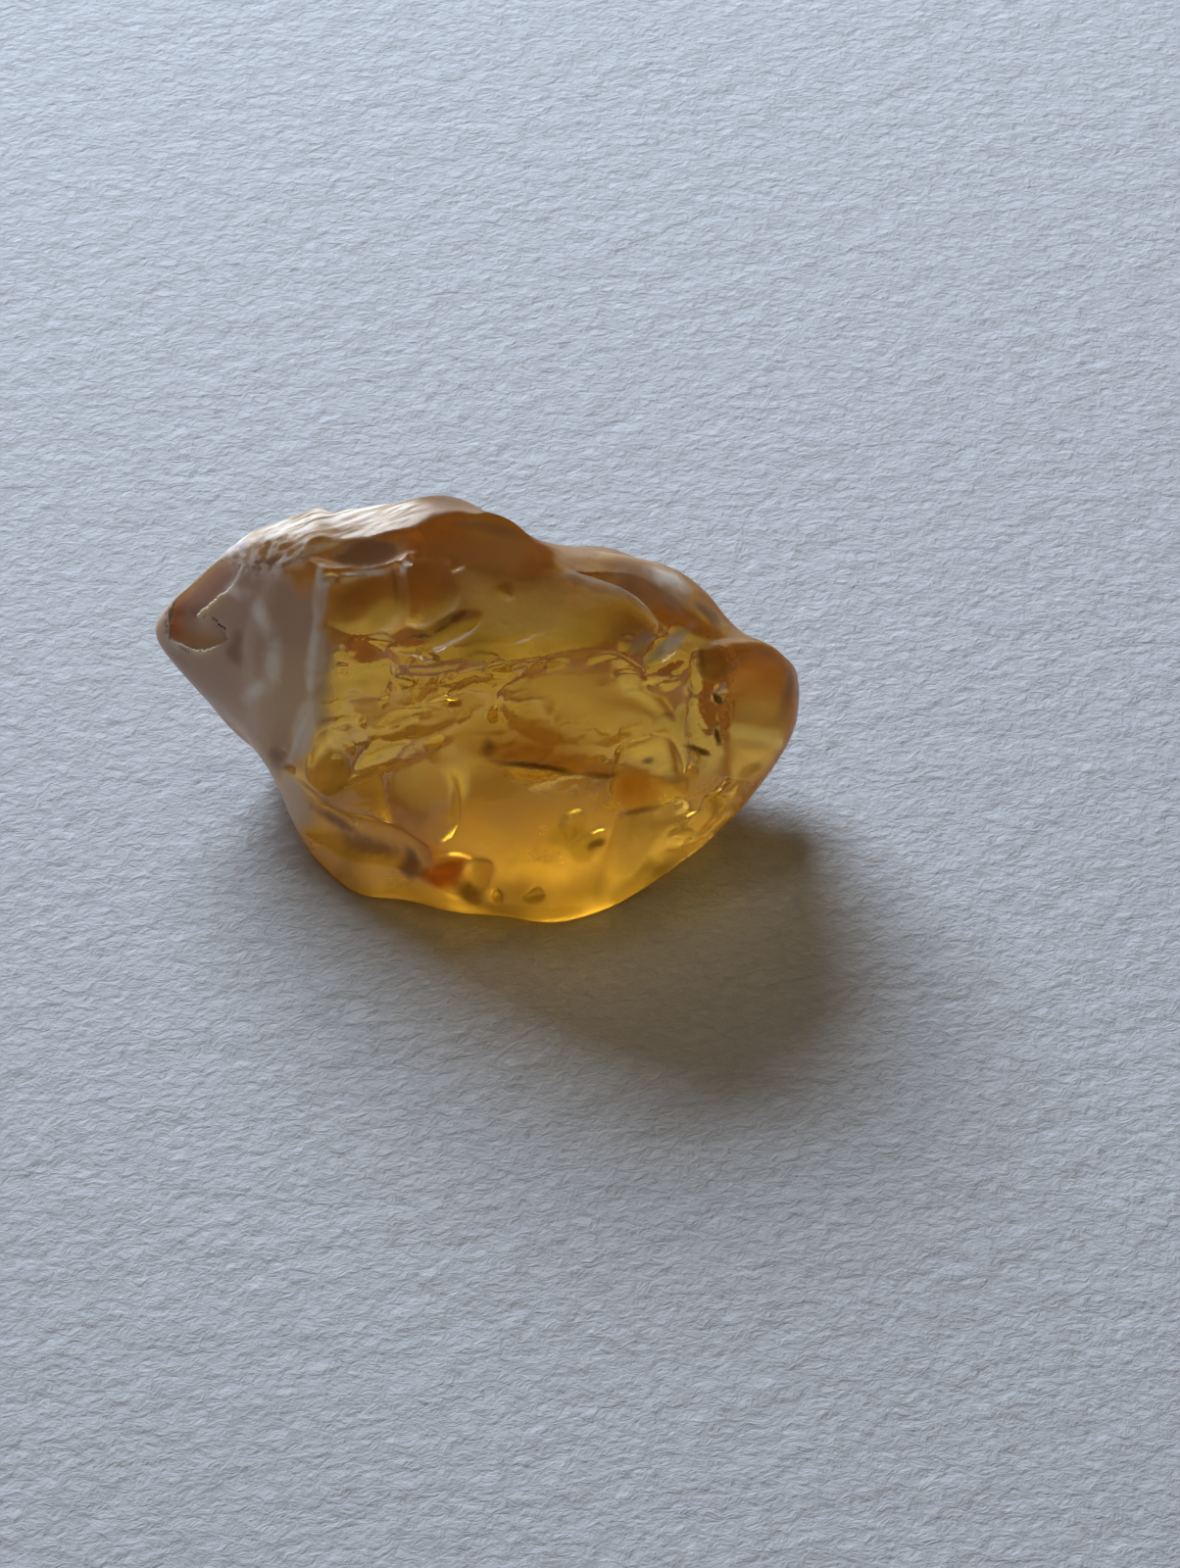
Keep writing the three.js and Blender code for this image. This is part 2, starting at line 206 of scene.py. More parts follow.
STEP_FLOOR = (-0.06, -0.21, 0.976)  # the way that the ledges' floors face
STEP_HEIGHT = 2.2  # how high a ledge is cut, in its own depths
SINK = 0.5  # how far a mark's centre stands off the surface, as a share of its own depth radius
CHIP_FACES = 12  # faces round the worn polyhedron that a chip is cut with
CHIP_WEAR = 9  # how crisp the edges between them are
CHIP_REACH = 0.9  # distance of its faces from its heart, in its own radii
CHIP_UNEVEN = 0.1  # how far that distance goes up and down
CHIP_STEP = 3.7  # phase gained from one face to the next
CHIP_SEED_STEP = 5.1  # phase gained from one chip to the next
CHIP_SEED_TURN = 1.7  # turn from one chip to the next, radians
GOLDEN_ANGLE = 2.39996  # turn from one face to the next, radians
CHIP_SWELL = 1.2  # turns a chip's own measure into about millimetres
STEEPEST = 50.0  # largest ratio raised to the wear power, so that far points don't overflow
LEAST = 1e-12  # keeps a sum of powers off zero
STEP_EDGE = 0.012  # rounding of a small ledge's lip, mm
BUMP_JOIN = 0.06  # how widely a bump flows into the stone, mm
FLOOR_EDGE = 0.01  # rounding of the rim of the flat underside, mm
BUMP_REACH, HOLLOW_REACH, STEP_REACH = 1.4, 1.6, 2  # how far marks are worked out, in their own half lengths
MARGIN = 0.3  # and how much farther, mm


def direction(azimuth, elevation):
    """The unit vector that points that way."""
    a, e = math.radians(azimuth), math.radians(elevation)
    return np.array((math.cos(e) * math.cos(a), math.cos(e) * math.sin(a), math.sin(e)))


def axes_of(faces, turn):
    """A mark's own axes as columns: along it, across it and outward."""
    outward = direction(*faces)
    level = np.cross((0.0, 0.0, 1.0), outward)
    level /= np.linalg.norm(level)
    rising = np.cross(outward, level)
    along = level * math.cos(math.radians(turn)) + rising * math.sin(math.radians(turn))
    return np.stack((along, np.cross(outward, along), outward), axis=1)


def joined(a, b, width):
    """The union of two fields, with the seam between them rounded over a width."""
    blend = np.maximum(width - np.abs(a - b), 0.0) / width
    return np.minimum(a, b) - blend * blend * width / 4


def cut_away(a, b, width):
    """What is in both fields, with the edge between them rounded over a width."""
    return -joined(-a, -b, width)


def lobe_field(p, lobe):
    """About the distance of each point outside a lobe, in millimetres, negative inside."""
    normals = np.array([direction(azimuth, elevation) for azimuth, elevation, _ in lobe["faces"]])
    reach = np.array([face[2] for face in lobe["faces"]])
    ratio = np.clip((p - np.array(lobe["heart"])) @ normals.T / reach, 0.0, STEEPEST) ** lobe["wear"]
    total = np.maximum(ratio.sum(axis=-1), LEAST)
    return (total ** (1 / lobe["wear"]) - 1) * (ratio @ reach) / total


def chip_faces(seed):
    """The normals and the reach of a chip's faces, spread evenly over a ball."""
    i = np.arange(CHIP_FACES)
    height = 1 - (2 * i + 1) / CHIP_FACES
    level = np.sqrt(1 - height * height)
    angle = i * GOLDEN_ANGLE + seed * CHIP_SEED_TURN
    reach = CHIP_REACH + CHIP_UNEVEN * np.sin(CHIP_STEP * i + CHIP_SEED_STEP * seed)
    return np.stack((level * np.cos(angle), level * np.sin(angle), height), axis=1), reach


def mark_local(p, mark, side):
    """Points in a mark's own unit frame, and the radii that it was scaled by."""
    _, at, faces, turn, (half_length, half_width, depth) = mark
    axes = axes_of(faces, turn)
    spread = math.sqrt(1 - SINK * SINK)
    depth_radius = depth / (1 - SINK)
    radii = np.array((half_length / spread, half_width / spread, depth_radius))
    centre = np.array(at) + axes[:, 2] * side * SINK * depth_radius
    return (p - centre) @ axes / radii, radii.min()


def bump_field(p, mark):
    """About the distance of each point outside a bump."""
    q, scale = mark_local(p, mark, -1)
    return (np.linalg.norm(q, axis=-1) - 1) * scale


def hollow_field(p, mark, seed):
    """About the distance of each point outside the body that is taken out for a hollow."""
    q, scale = mark_local(p, mark, 1)
    normals, reach = chip_faces(seed)
    total = np.maximum((np.clip(q @ normals.T / reach, 0.0, STEEPEST) ** CHIP_WEAR).sum(axis=-1), LEAST)
    return (total ** (1 / CHIP_WEAR) - 1) * scale * CHIP_SWELL


def step_field(p, step):
    """Negative in what is cut away for a small ledge: half an oval, with a flat floor."""
    _, at, runs, (half_length, depth) = step
    floor = np.array(STEP_FLOOR)
    along = np.array((math.cos(math.radians(runs)), math.sin(math.radians(runs)), 0.0))
    along -= floor * (along @ floor)
    along /= np.linalg.norm(along)
    q = (p - np.array(at)) @ np.stack((along, np.cross(floor, along), floor), axis=1)
    oval = np.linalg.norm(q / np.array((half_length, depth, depth * STEP_HEIGHT)), axis=-1)
    return np.maximum((oval - 1) * depth, -q[:, 2])


def waved(p):
    """Points as they were before the long, low waves moved the surface."""
    moved = np.zeros_like(p)
    for along, start, shift in WAVES:
        moved += np.sin(p @ np.array(along) + start)[:, None] * np.array(shift)
    return p - moved


def stone_field(p, join, crisp):
    """The whole stone: its lobes grown together, bumps added, hollows taken out, and the flat underside."""
    height = p[:, 2]
    p = waved(p)
    f = lobe_field(p, BODY)
    for lobe in (KNOB, BACK_LOBE, RIGHT_LOBE):
        f = joined(f, lobe_field(p, lobe), join)
    for mark in BUMPS:
        near = np.linalg.norm(p - np.array(mark[1]), axis=-1) < BUMP_REACH * max(mark[4]) + MARGIN
        f[near] = joined(f[near], bump_field(p[near], mark), BUMP_JOIN)
    for seed, mark in enumerate(HOLLOWS + SMALL_HOLLOWS, len(BUMPS)):
        near = np.linalg.norm(p - np.array(mark[1]), axis=-1) < HOLLOW_REACH * max(mark[4]) + MARGIN
        f[near] = cut_away(f[near], -hollow_field(p[near], mark, seed), crisp)
    for step in STEPS:
        near = np.linalg.norm(p - np.array(step[1]), axis=-1) < STEP_REACH * max(step[3]) + MARGIN
        f[near] = cut_away(f[near], -step_field(p[near], step), STEP_EDGE)
    return cut_away(f, -height, FLOOR_EDGE)


# ---- Meshing ------------------------------------------------------------------------------------------

COARSE = 4  # fine grid steps in one step of the coarse grid that finds the surface
REACH_OF_SURFACE = 0.5  # a coarse cell is looked at if the field comes this near to zero in it, mm
GRID_LOW, GRID_HIGH = (-6.8, -3.9, -0.35), (6.8, 4.3, 6.8)  # the box that is searched for the surface, mm
SETTLING = 2  # how often the vertices are moved onto the surface
NUDGE = 0.001  # how far apart the field is measured for its slope, mm
FURTHEST = 0.05  # the farthest that a vertex moves at once, in slopes
FLATTEST = 1e-6  # least square of a slope


def grid_values(field, low, counts, step):
    """The field on a fine grid. Away from the surface only its sign is right."""
    coarse_axes = [low[i] + step * COARSE * np.arange(counts[i] // COARSE + 1) for i in range(3)]
    coarse = np.stack(np.meshgrid(*coarse_axes, indexing="ij"), axis=-1)
    rough = field(coarse.reshape(-1, 3)).reshape(coarse.shape[:3])
    cells = [
        rough[i:i + rough.shape[0] - 1, j:j + rough.shape[1] - 1, k:k + rough.shape[2] - 1]
        for i in (0, 1) for j in (0, 1) for k in (0, 1)
    ]
    nearest = np.minimum.reduce([np.abs(cell) for cell in cells])
    crossed = np.minimum.reduce(cells) * np.maximum.reduce(cells) <= 0
    values, looked_at = cells[0], (nearest < REACH_OF_SURFACE) | crossed
    for axis in range(3):
        values = np.repeat(values, COARSE, axis=axis)
        looked_at = np.repeat(looked_at, COARSE, axis=axis)
    values = values.copy()
    values[looked_at] = field(low + step * np.argwhere(looked_at))
    return values


def net_of(values, low, step):
    """Surface nets: one vertex in each cell that the surface crosses, one quad for each crossed edge."""
    n = np.array(values.shape)
    inside = values < 0
    corners = [(i, j, k) for i in (0, 1) for j in (0, 1) for k in (0, 1)]
    count = sum(
        inside[i:n[0] - 1 + i, j:n[1] - 1 + j, k:n[2] - 1 + k].astype(np.int8) for i, j, k in corners
    )
    crossed = (count > 0) & (count < 8)
    number = np.full(crossed.shape, -1)
    number[crossed] = np.arange(crossed.sum())
    cells = np.argwhere(crossed)
    total, hits = np.zeros((len(cells), 3)), np.zeros(len(cells))
    for a, first in enumerate(corners):
        for second in corners[a + 1:]:
            if sum(abs(s - t) for s, t in zip(first, second)) != 1:
                continue
            va, vb = values[tuple((cells + first).T)], values[tuple((cells + second).T)]
            cuts = (va < 0) != (vb < 0)
            share = va[cuts] / (va[cuts] - vb[cuts])
            total[cuts] += np.array(first) + np.subtract(second, first) * share[:, None]
            hits[cuts] += 1
    vertices = low + step * (cells + total / hits[:, None])
    quads = []
    for axis in range(3):
        u, v = (axis + 1) % 3, (axis + 2) % 3
        first, second = [slice(1, -1)] * 3, [slice(1, -1)] * 3
        first[axis], second[axis] = slice(0, -1), slice(1, None)
        edge = np.argwhere(inside[tuple(first)] != inside[tuple(second)]) + 1
        edge[:, axis] -= 1
        back_u, back_v = np.eye(3, dtype=int)[u], np.eye(3, dtype=int)[v]
        ring = [edge - back_u - back_v, edge - back_v, edge, edge - back_u]
        quad = np.stack([number[tuple(cell.T)] for cell in ring], axis=1)
        inward = ~inside[tuple(edge.T)]
        quad[inward] = quad[inward][:, ::-1]
        quads.append(quad)
    return vertices, np.concatenate(quads)


def settled(field, vertices):
    """The vertices, moved onto the surface along the field's slope."""
    for _ in range(SETTLING):
        f = field(vertices)
        slope = np.empty_like(vertices)
        for axis in range(3):
            step = np.eye(3)[axis] * NUDGE
            slope[:, axis] = (field(vertices + step) - field(vertices - step)) / (2 * NUDGE)
        share = np.clip(f / np.maximum((slope * slope).sum(axis=1), FLATTEST), -FURTHEST, FURTHEST)
        vertices = vertices - slope * share[:, None]
    return vertices


# ---- Zones and finishes -------------------------------------------------------------------------------

# A zone is an oval part of the surface, placed as a mark is: its name, the point at its middle, the way that
# it faces, its turn, and its half length, half width and half depth (mm).

FRESH_BREAKS = (
    ("stepped break", (-0.27, -0.92, 4.23), (-121, 34), 31, (3.0, 1.0, 0.9)),
    ("stepped break, left", (-2.23, -0.26, 3.47), (-121, 39), 37, (1.3, 1.2, 0.8)),
    ("cove", (1.56, -1.66, 3.26), (-70, 22), -21, (2.4, 1.05, 0.9)),
    ("round scoop", (2.88, -1.44, 2.16), (-64, 23), -17, (1.1, 0.85, 0.7)),
    ("slivers", (3.14, -0.48, 4.1), (-61, 20), 1, (1.1, 0.9, 0.8)),
    ("lobe cracks", (4.21, -0.25, 3.23), (-59, 21), -20, (0.7, 1.4, 0.6)),
    ("low slivers", (4.04, -1.26, 1.08), (-56, 16), 24, (1.3, 0.8, 0.6)),
    ("chips by the bulge", (-1.88, -1.13, 2.59), (-114, 29), 71, (1.3, 1.05, 0.7)),
)

STRIATED = (
    ("ledge, left", (-3.6, 2.16, 4.99), (-155, 63), 55, (1.8, 0.9, 0.9)),
    ("ledge, right", (-2.1, 2.25, 5.4), (171, 74), 83, (1.5, 0.7, 0.8)),
)


ZONE_RIM = 0.45  # how soft the rim of a zone is, as a share of its half sizes

# A finish is another tint laid over the crystal in patches: how clear and how rough it is, the way that its
# normals lean, and its patches. Later finishes lie over earlier ones. Most of them paint light or shade: the
# dark olive-brown, the foot's brown and the orange stain are painted shade, the red-brown rims and the dark
# lines are partly painted shade, the purplish skin and the pale bevel are painted reflections, and the
# whitish film is partly painted highlight.
# A patch is a soft oval: its name, the point at its middle, the way that it faces, its turn, its half length,
# half width and half depth (mm), how soft and how ragged its edge is (shares of its size), and its strength.

FINISHES = {
    "gold": (1.0, 0.4, (0.0, 0.0, -0.8), (
        ("bulge", (-0.9, -2.04, 2.57), (-122, 30), 56, (1.17, 0.9, 1.4), 0.8, 0.4, 1),
        ("tongue", (2.21, -0.79, 3.36), (-61, 20), 1, (1.45, 0.67, 1.6), 0.6, 0.4, 1),
        ("leaf", (2.92, -0.78, 3.06), (-63, 21), 10, (0.57, 0.34, 1), 0.4, 0.3, 1),
        ("ridge", (1.39, -0.89, 3.98), (-74, 25), -4, (1.49, 0.34, 1.2), 0.8, 0.4, 0.9),
        ("step by the cove", (-0.42, -1.09, 3.64), (-120, 35), 36, (1.23, 0.51, 1.2), 0.8, 0.4, 0.9),
        ("left steps", (-1.73, -0.72, 3.21), (-124, 33), 30, (1.17, 0.69, 1.2), 0.8, 0.4, 0.9),
    )),
    "gleam": (1.0, 0.4, (0.6, 0.0, -0.6), (
        ("bulge top", (-0.98, -1.97, 2.6), (-125, 30), 56, (0.7, 0.53, 1.2), 0.9, 0.3, 1),
        ("tongue end", (2.88, -0.57, 3.32), (-62, 18), 2, (0.89, 0.4, 1.4), 0.8, 0.3, 1),
    )),
    "amber": (1.0, 0.3, (-0.65, 0.0, 0.15), (
        ("lobe glow", (4.98, -0.05, 2.75), (-64, 21), -30, (1.04, 1.28, 1.6), 0.6, 0.2, 1),
        ("lobe glow, low", (4.59, -0.59, 1.91), (-62, 19), -44, (0.73, 0.51, 1.2), 0.8, 0.3, 0.8),
    )),
    # Painted shade: a dark olive-brown laid on the dome, the pit, beside the bevel and under the tongue,
    # where the crystal looks dark because of how light passes through it.
    "painted_shade": (0.95, 0.45, (0.0, 0.0, 0.3), (
        ("dome", (0.25, 0.13, 5.41), (-89, 59), -13, (2.01, 1.45, 1.8), 0.5, 0.3, 0.95),
        ("dome, left", (-1.62, 0.82, 4.6), (-123, 35), 20, (1.32, 0.76, 1.4), 0.6, 0.4, 0.8),
        ("dome, right", (2.26, -0.37, 5.09), (-79, 49), -27, (1.55, 0.84, 1.4), 0.6, 0.3, 0.85),
        ("dark spot", (-2.05, 0.9, 4.47), (-122, 35), 19, (0.33, 0.22, 0.9), 0.9, 0.4, 1),
        ("lobe triangle", (4.24, 0.1, 3.7), (-57, 27), 7, (0.34, 0.43, 1), 0.35, 0.3, 1),
        ("pit", (1.79, -2.19, 1.64), (-65, 21), -16, (0.6, 0.53, 1), 0.5, 0.5, 0.8),
        ("sliver shade", (4.92, -0.5, 1.69), (-61, 17), 6, (0.39, 0.15, 0.8), 0.6, 0.4, 0.8),
        ("by the bevel, top", (-2.38, 0.6, 4.14), (-121, 38), 26, (0.4, 1.03, 1), 0.9, 0.5, 0.7),
        ("by the bevel, low", (-2.52, -0.99, 1.78), (-130, 17), 9, (0.41, 0.94, 1), 0.9, 0.5, 0.6),
        ("under the tongue", (3.77, -0.65, 2.87), (-62, 20), -70, (0.62, 0.3, 1), 0.9, 0.5, 0.5),
    )),
    # Painted shade: a dark brown that dims the foot, the low slope and the low facet, which the light shining
    # through the thin foot would otherwise make bright.
    "shade": (0.9, 0.45, (0.0, 0.0, 0.0), (
        ("low slope", (2.98, -1.71, 0.81), (-67, 19), 18, (1.47, 0.78, 1.4), 0.9, 0.3, 0.75),
        ("foot", (1.47, -2.8, 0.59), (-68, 21), -11, (3.39, 0.88, 1.6), 0.9, 0.2, 0.95),
        ("low facet", (-2.36, -1.8, 0.26), (-133, 16), -3, (0.97, 0.59, 1.2), 0.8, 0.3, 0.6),
        ("foot edge, right", (2.89, -2, 0.31), (-56, -3), 0, (1.61, 0.51, 1.2), 0.7, 0.1, 1),
        ("foot edge", (1.03, -2.97, 0.41), (-89, 10), -5, (2.37, 0.32, 1.2), 0.7, 0.1, 1),
    )),
    "crown": (1.0, 0.3, (0.3, -0.7, -0.2), (
        ("dome crown", (0.25, 1.02, 5.93), (-104, 66), 1, (2.04, 0.72, 0.9), 0.4, 0.2, 1),
    )),
    # Painted reflection: the purplish brown on the knob, the left face, the dome top and the back lobe stands
    # in for the surroundings reflected at a grazing angle over brown crystal.
    "mauve_reflection": (0.15, 0.45, (0.0, 0.0, 0.0), (
        ("knob", (-5.18, 2.04, 3.22), (-135, 22), 26, (2.18, 2.38, 4), 0.3, 0.2, 0.95),
        ("dome top", (0.25, 0.76, 5.8), (-95, 60), -5, (1.91, 0.59, 0.6), 0.8, 0.3, 0.35),
        ("left face", (-4.02, 0.96, 3.17), (-133, 21), 17, (1.94, 2.12, 1.6), 0.25, 0.25, 0.95),
        ("left face, low", (-3.85, 0.12, 2.13), (-138, 23), 6, (1.1, 1.14, 1.4), 0.4, 0.3, 0.85),
        ("back lobe, face", (3.09, 0.82, 4.82), (-72, 41), -34, (1.37, 0.48, 0.6), 0.6, 0.3, 0.8),
        ("beside the sliver", (2.96, -0.37, 4.57), (-60, 22), 21, (0.41, 0.25, 0.9), 0.8, 0.5, 0.8),
    )),
    # Red-brown skin, partly painted shade: the dark rims of the knob and the right lobe, the bands under the
    # ledge, the low bands and the shaded facet edge stand in for shade.
    "rust_and_shade": (0.2, 0.45, (0.0, 0.0, 0.0), (
        ("knob rim", (-5.55, 2.64, 2.84), (-170, 32), 67, (1.01, 0.37, 1), 0.9, 0.4, 0.2),
        ("knob rim, low", (-5.48, 1.93, 2.06), (-142, -8), -15, (0.74, 0.4, 1), 0.9, 0.4, 0.3),
        ("under the ledge, left", (-3.68, 1.79, 4.69), (-128, 37), 29, (0.95, 0.17, 0.6), 0.6, 0.4, 0.8),
        ("under the ledge, right", (-1.96, 1.42, 5.16), (-142, 61), 43, (0.8, 0.33, 0.8), 0.4, 0.3, 0.9),
        ("face patch", (-4.44, 1.28, 2.96), (-133, 17), 26, (0.36, 0.45, 0.6), 0.8, 0.5, 0.85),
        ("knob patch", (-5.16, 2.46, 3.07), (-159, 30), 48, (0.45, 0.19, 0.6), 0.9, 0.4, 0.35),
        ("foot of the face", (-3.67, -0.24, 1.73), (-133, 6), 2, (0.27, 0.35, 0.8), 0.7, 0.5, 0.8),
        ("dome rim", (0.18, 1.19, 5.98), (-124, 73), 12, (1.09, 0.22, 0.4), 0.8, 0.3, 0.6),
        ("back lobe", (2.97, 1.28, 5.06), (13, 68), -111, (1.61, 0.55, 0.6), 0.7, 0.3, 0.8),
        ("back lobe end", (4.16, 1.03, 4.2), (-5, 49), -115, (0.44, 0.36, 0.6), 0.7, 0.3, 0.9),
        ("lobe rim", (5.66, 0.42, 2.87), (-40, 20), -37, (0.25, 0.84, 0.5), 0.9, 0.3, 0.7),
        ("lobe top", (5.19, 0.51, 3.67), (-43, 38), -52, (0.84, 0.16, 0.4), 0.9, 0.3, 0.6),
        ("low band", (-1.94, -1.54, 0.8), (-130, 24), 14, (1.26, 0.28, 1), 0.8, 0.4, 0.85),
        ("low band, right", (-1.14, -2.26, 1), (-133, 14), -7, (0.66, 0.38, 1), 0.7, 0.4, 1),
        ("shaded facet edge", (-2.54, -0.99, 0.89), (-132, 21), -4, (0.72, 0.21, 0.9), 0.8, 0.5, 0.9),
    )),
    # Painted reflection: the pale colour of the long bevel stands in for the surroundings reflected in it.
    "bevel_reflection": (0.15, 0.5, (0.0, 0.0, 0.0), (
        ("bevel, top", (-2.83, 1, 4.45), (-123, 31), -74, (0.66, 0.19, 0.5), 0.5, 0.3, 0.95),
        ("bevel, middle", (-2.92, 0.36, 3.53), (-131, 32), -72, (0.8, 0.25, 0.5), 0.5, 0.3, 0.95),
        ("bevel, low", (-3.11, -0.3, 2.54), (-134, 29), -84, (0.86, 0.35, 0.6), 0.5, 0.3, 0.95),
        ("bevel, foot", (-3.4, -0.49, 0.84), (-141, 1), -68, (1.02, 0.67, 0.8), 0.5, 0.3, 0.85),
    )),
    "pale": (0.1, 0.5, (0.0, 0.0, 0.0), (
        ("knob flat", (-5.18, 2.3, 2.69), (-131, 20), 14, (0.9, 0.43, 1.4), 0.7, 0.3, 1),
    )),
    # Painted shade in dark orange: the cove floor, the scoop, the low band and the dome patch stand in for
    # the shade under their lips and overhangs.
    "stain": (0.85, 0.45, (0.0, 0.0, 0.3), (
        ("dome patch", (-1.04, 0.51, 4.95), (-128, 36), 5, (0.55, 0.27, 0.9), 0.95, 0.4, 0.5),
        ("cove floor", (1.06, -1.74, 2.85), (-84, 23), -14, (1.91, 1.32, 1.8), 0.8, 0.0, 1),
        ("cove floor, right", (2.39, -1.58, 2.39), (-62, 20), -26, (1.04, 0.48, 1.4), 0.9, 0.0, 0.95),
        ("scoop", (2.85, -1.23, 1.91), (-67, 21), 5, (0.87, 0.79, 1.4), 0.9, 0.3, 1),
        ("low band, deep", (-0.7, -2.57, 1.5), (-100, 21), -19, (0.95, 0.43, 1.1), 0.9, 0.4, 0.85),
    )),
    "iron": (0.25, 0.5, (0.0, 0.0, 0.0), (
        ("stain", (-0.47, -2.45, 0.98), (-93, 18), -20, (0.51, 0.49, 1.2), 0.6, 0.5, 1),
    )),
    # Partly a whitish film, partly painted highlight: the bevel lines, the curved edge, the back lobe band,
    # the lobe scratch and the white sliver stand in for glints of the light.
    "veil_and_highlight": (0.15, 0.5, (0.0, 0.0, 0.0), (
        ("S, top", (-4.46, 1.87, 3.97), (-133, 28), 11, (0.6, 0.19, 0.5), 0.9, 0.5, 0.85),
        ("S, upper", (-3.91, 1.27, 3.83), (-132, 28), -32, (0.65, 0.29, 0.5), 0.95, 0.4, 0.9),
        ("S, middle", (-3.69, 0.74, 3.25), (-126, 27), -75, (0.63, 0.31, 0.5), 0.95, 0.4, 1),
        ("S, lower", (-4.03, 0.67, 2.62), (-139, 22), 53, (0.72, 0.25, 0.5), 0.95, 0.4, 0.7),
        ("bevel line, top", (-2.83, 1.22, 4.77), (-118, 36), -75, (0.47, 0.1, 0.4), 0.6, 0.3, 0.9),
        ("bevel line, middle", (-2.94, 0.54, 3.73), (-128, 31), -73, (1.09, 0.11, 0.4), 0.8, 0.4, 0.85),
        ("bevel line, low", (-3.27, -0.35, 2.26), (-133, 26), -95, (0.83, 0.11, 0.4), 0.8, 0.4, 0.85),
        ("curved edge, left", (-2.7, 1.14, 4.75), (-114, 40), 54, (0.26, 0.09, 0.4), 0.6, 0.4, 0.95),
        ("curved edge, middle", (-2.06, 1.11, 4.97), (-121, 35), 22, (0.61, 0.09, 0.4), 0.6, 0.4, 0.95),
        ("curved edge, right", (-1.32, 0.83, 5.32), (-125, 38), 63, (0.23, 0.1, 0.4), 0.6, 0.4, 0.95),
        ("back lobe band", (3.52, 1.22, 4.75), (-1, 53), -79, (0.72, 0.35, 0.5), 0.8, 0.4, 0.9),
        ("lobe scratch", (4.4, -0.11, 3.28), (-62, 20), 48, (0.24, 0.06, 0.5), 0.6, 0.4, 1),
        ("white sliver", (3.48, 0.07, 4.17), (6, 37), -30, (1.12, 0.19, 0.8), 0.7, 0.3, 1),
    )),
    # Dark cracks, partly painted shade: the dark lips of the cove and the scoop, the dome edge, the lobe
    # triangle's edge and the cove corner stand in for shade under overhangs.
    "cracks_and_shade": (0.4, 0.45, (0.0, 0.0, 0.5), (
        ("wavy line, left", (-0.98, -0.06, 4.46), (-129, 37), 27, (0.36, 0.07, 0.6), 0.7, 0.5, 0.95),
        ("wavy line, middle", (-0.63, -0.11, 4.66), (-126, 37), 47, (0.3, 0.06, 0.6), 0.7, 0.5, 0.9),
        ("wavy line, right", (-0.31, -0.14, 4.97), (-124, 40), 50, (0.37, 0.08, 0.6), 0.6, 0.4, 0.8),
        ("dome edge", (-1.45, 0.88, 4.86), (-122, 34), 28, (0.1, 0.44, 0.6), 0.8, 0.4, 0.5),
        ("lobe triangle edge", (4.05, 0.13, 3.79), (-60, 62), -5, (0.08, 0.31, 0.6), 0.7, 0.4, 0.6),
        ("lobe spot", (4.35, -0.22, 3.11), (-59, 21), -19, (0.13, 0.11, 0.6), 0.4, 0.2, 1),
        ("zigzag, top", (4.32, -0.5, 2.53), (-59, 21), -86, (0.3, 0.08, 0.6), 0.6, 0.4, 0.95),
        ("zigzag, foot", (3.97, -0.73, 2.37), (-62, 22), -36, (0.38, 0.07, 0.6), 0.6, 0.4, 0.9),
        ("cove lip", (1.09, -1.74, 2.82), (-82, 23), -14, (1.11, 0.09, 1.2), 0.7, 0.0, 1),
        ("cove lip, right", (2.32, -1.59, 2.46), (-62, 20), -24, (0.71, 0.09, 1.2), 0.8, 0.0, 0.8),
        ("cove corner", (0.22, -1.74, 3.23), (-94, 28), 3, (0.18, 0.24, 0.9), 0.8, 0.4, 0.7),
        ("scoop spot", (3.1, -0.9, 2.26), (-68, 27), 0, (0.19, 0.11, 0.8), 0.7, 0.4, 0.8),
        ("scoop rim", (2.92, -1.55, 1.63), (-66, 22), -4, (0.58, 0.1, 0.8), 0.7, 0.4, 0.8),
        ("pit wedge", (2.18, -2.14, 1.32), (-64, 21), 11, (0.26, 0.1, 0.7), 0.7, 0.5, 0.8),
        ("stain foot", (-0.11, -2.75, 0.65), (-93, 7), -24, (0.48, 0.24, 0.9), 0.8, 0.4, 0.85),
    )),
}

HALVED = ("cove floor", "cove floor, right")  # patches that end sharply along their length, on the lower side
HALF_EDGE = 0.12  # softness of that sharp side, as a share of the half width
SMALL_PATCH = 0.36  # patches narrower than this have finer ragged edges, and their outlines don't wander, mm
WANDER = ((1.5, 0.30), (6.0, 0.05))  # how the patches' outlines wander: noise per millimetre, shift in mm
RAGGED = (2.5, 7.0)  # noise per millimetre in the edges of large and of small patches
WANDER_SEED = 10  # seeds from one wandering to the next
RAGGED_SEED = 100  # seed of the first noise in the edges
NOISE_GAIN = 0.7  # brings the noise to about the spread of the renderer's own
NOISE_CELLS = 32  # cells of random numbers along each side of the noise's lattice
NOISE_OCTAVES = 2


def eased(share):
    """A share from 0 to 1 that starts and ends gently."""
    return share * share * (3 - 2 * share)


def value_noise(p, scale, seed):
    """Smooth noise about zero at each point, from a lattice of random numbers."""
    lattice = np.random.default_rng(seed).random((NOISE_CELLS,) * 3) - 0.5
    total = np.zeros(len(p))
    for octave in range(NOISE_OCTAVES):
        q = p * scale * 2 ** octave
        cell = np.floor(q).astype(int)
        t = eased(q - cell)
        for corner in np.ndindex(2, 2, 2):
            weight = np.prod(np.where(corner, t, 1 - t), axis=1)
            total += weight * lattice[tuple((cell + corner).T % NOISE_CELLS)] / 2 ** octave
    return total


def in_oval(p, at, faces, turn, half_size):
    """Points in an oval's own frame, where it is a unit ball."""
    return (p - np.array(at)) @ axes_of(faces, turn) / np.array(half_size)


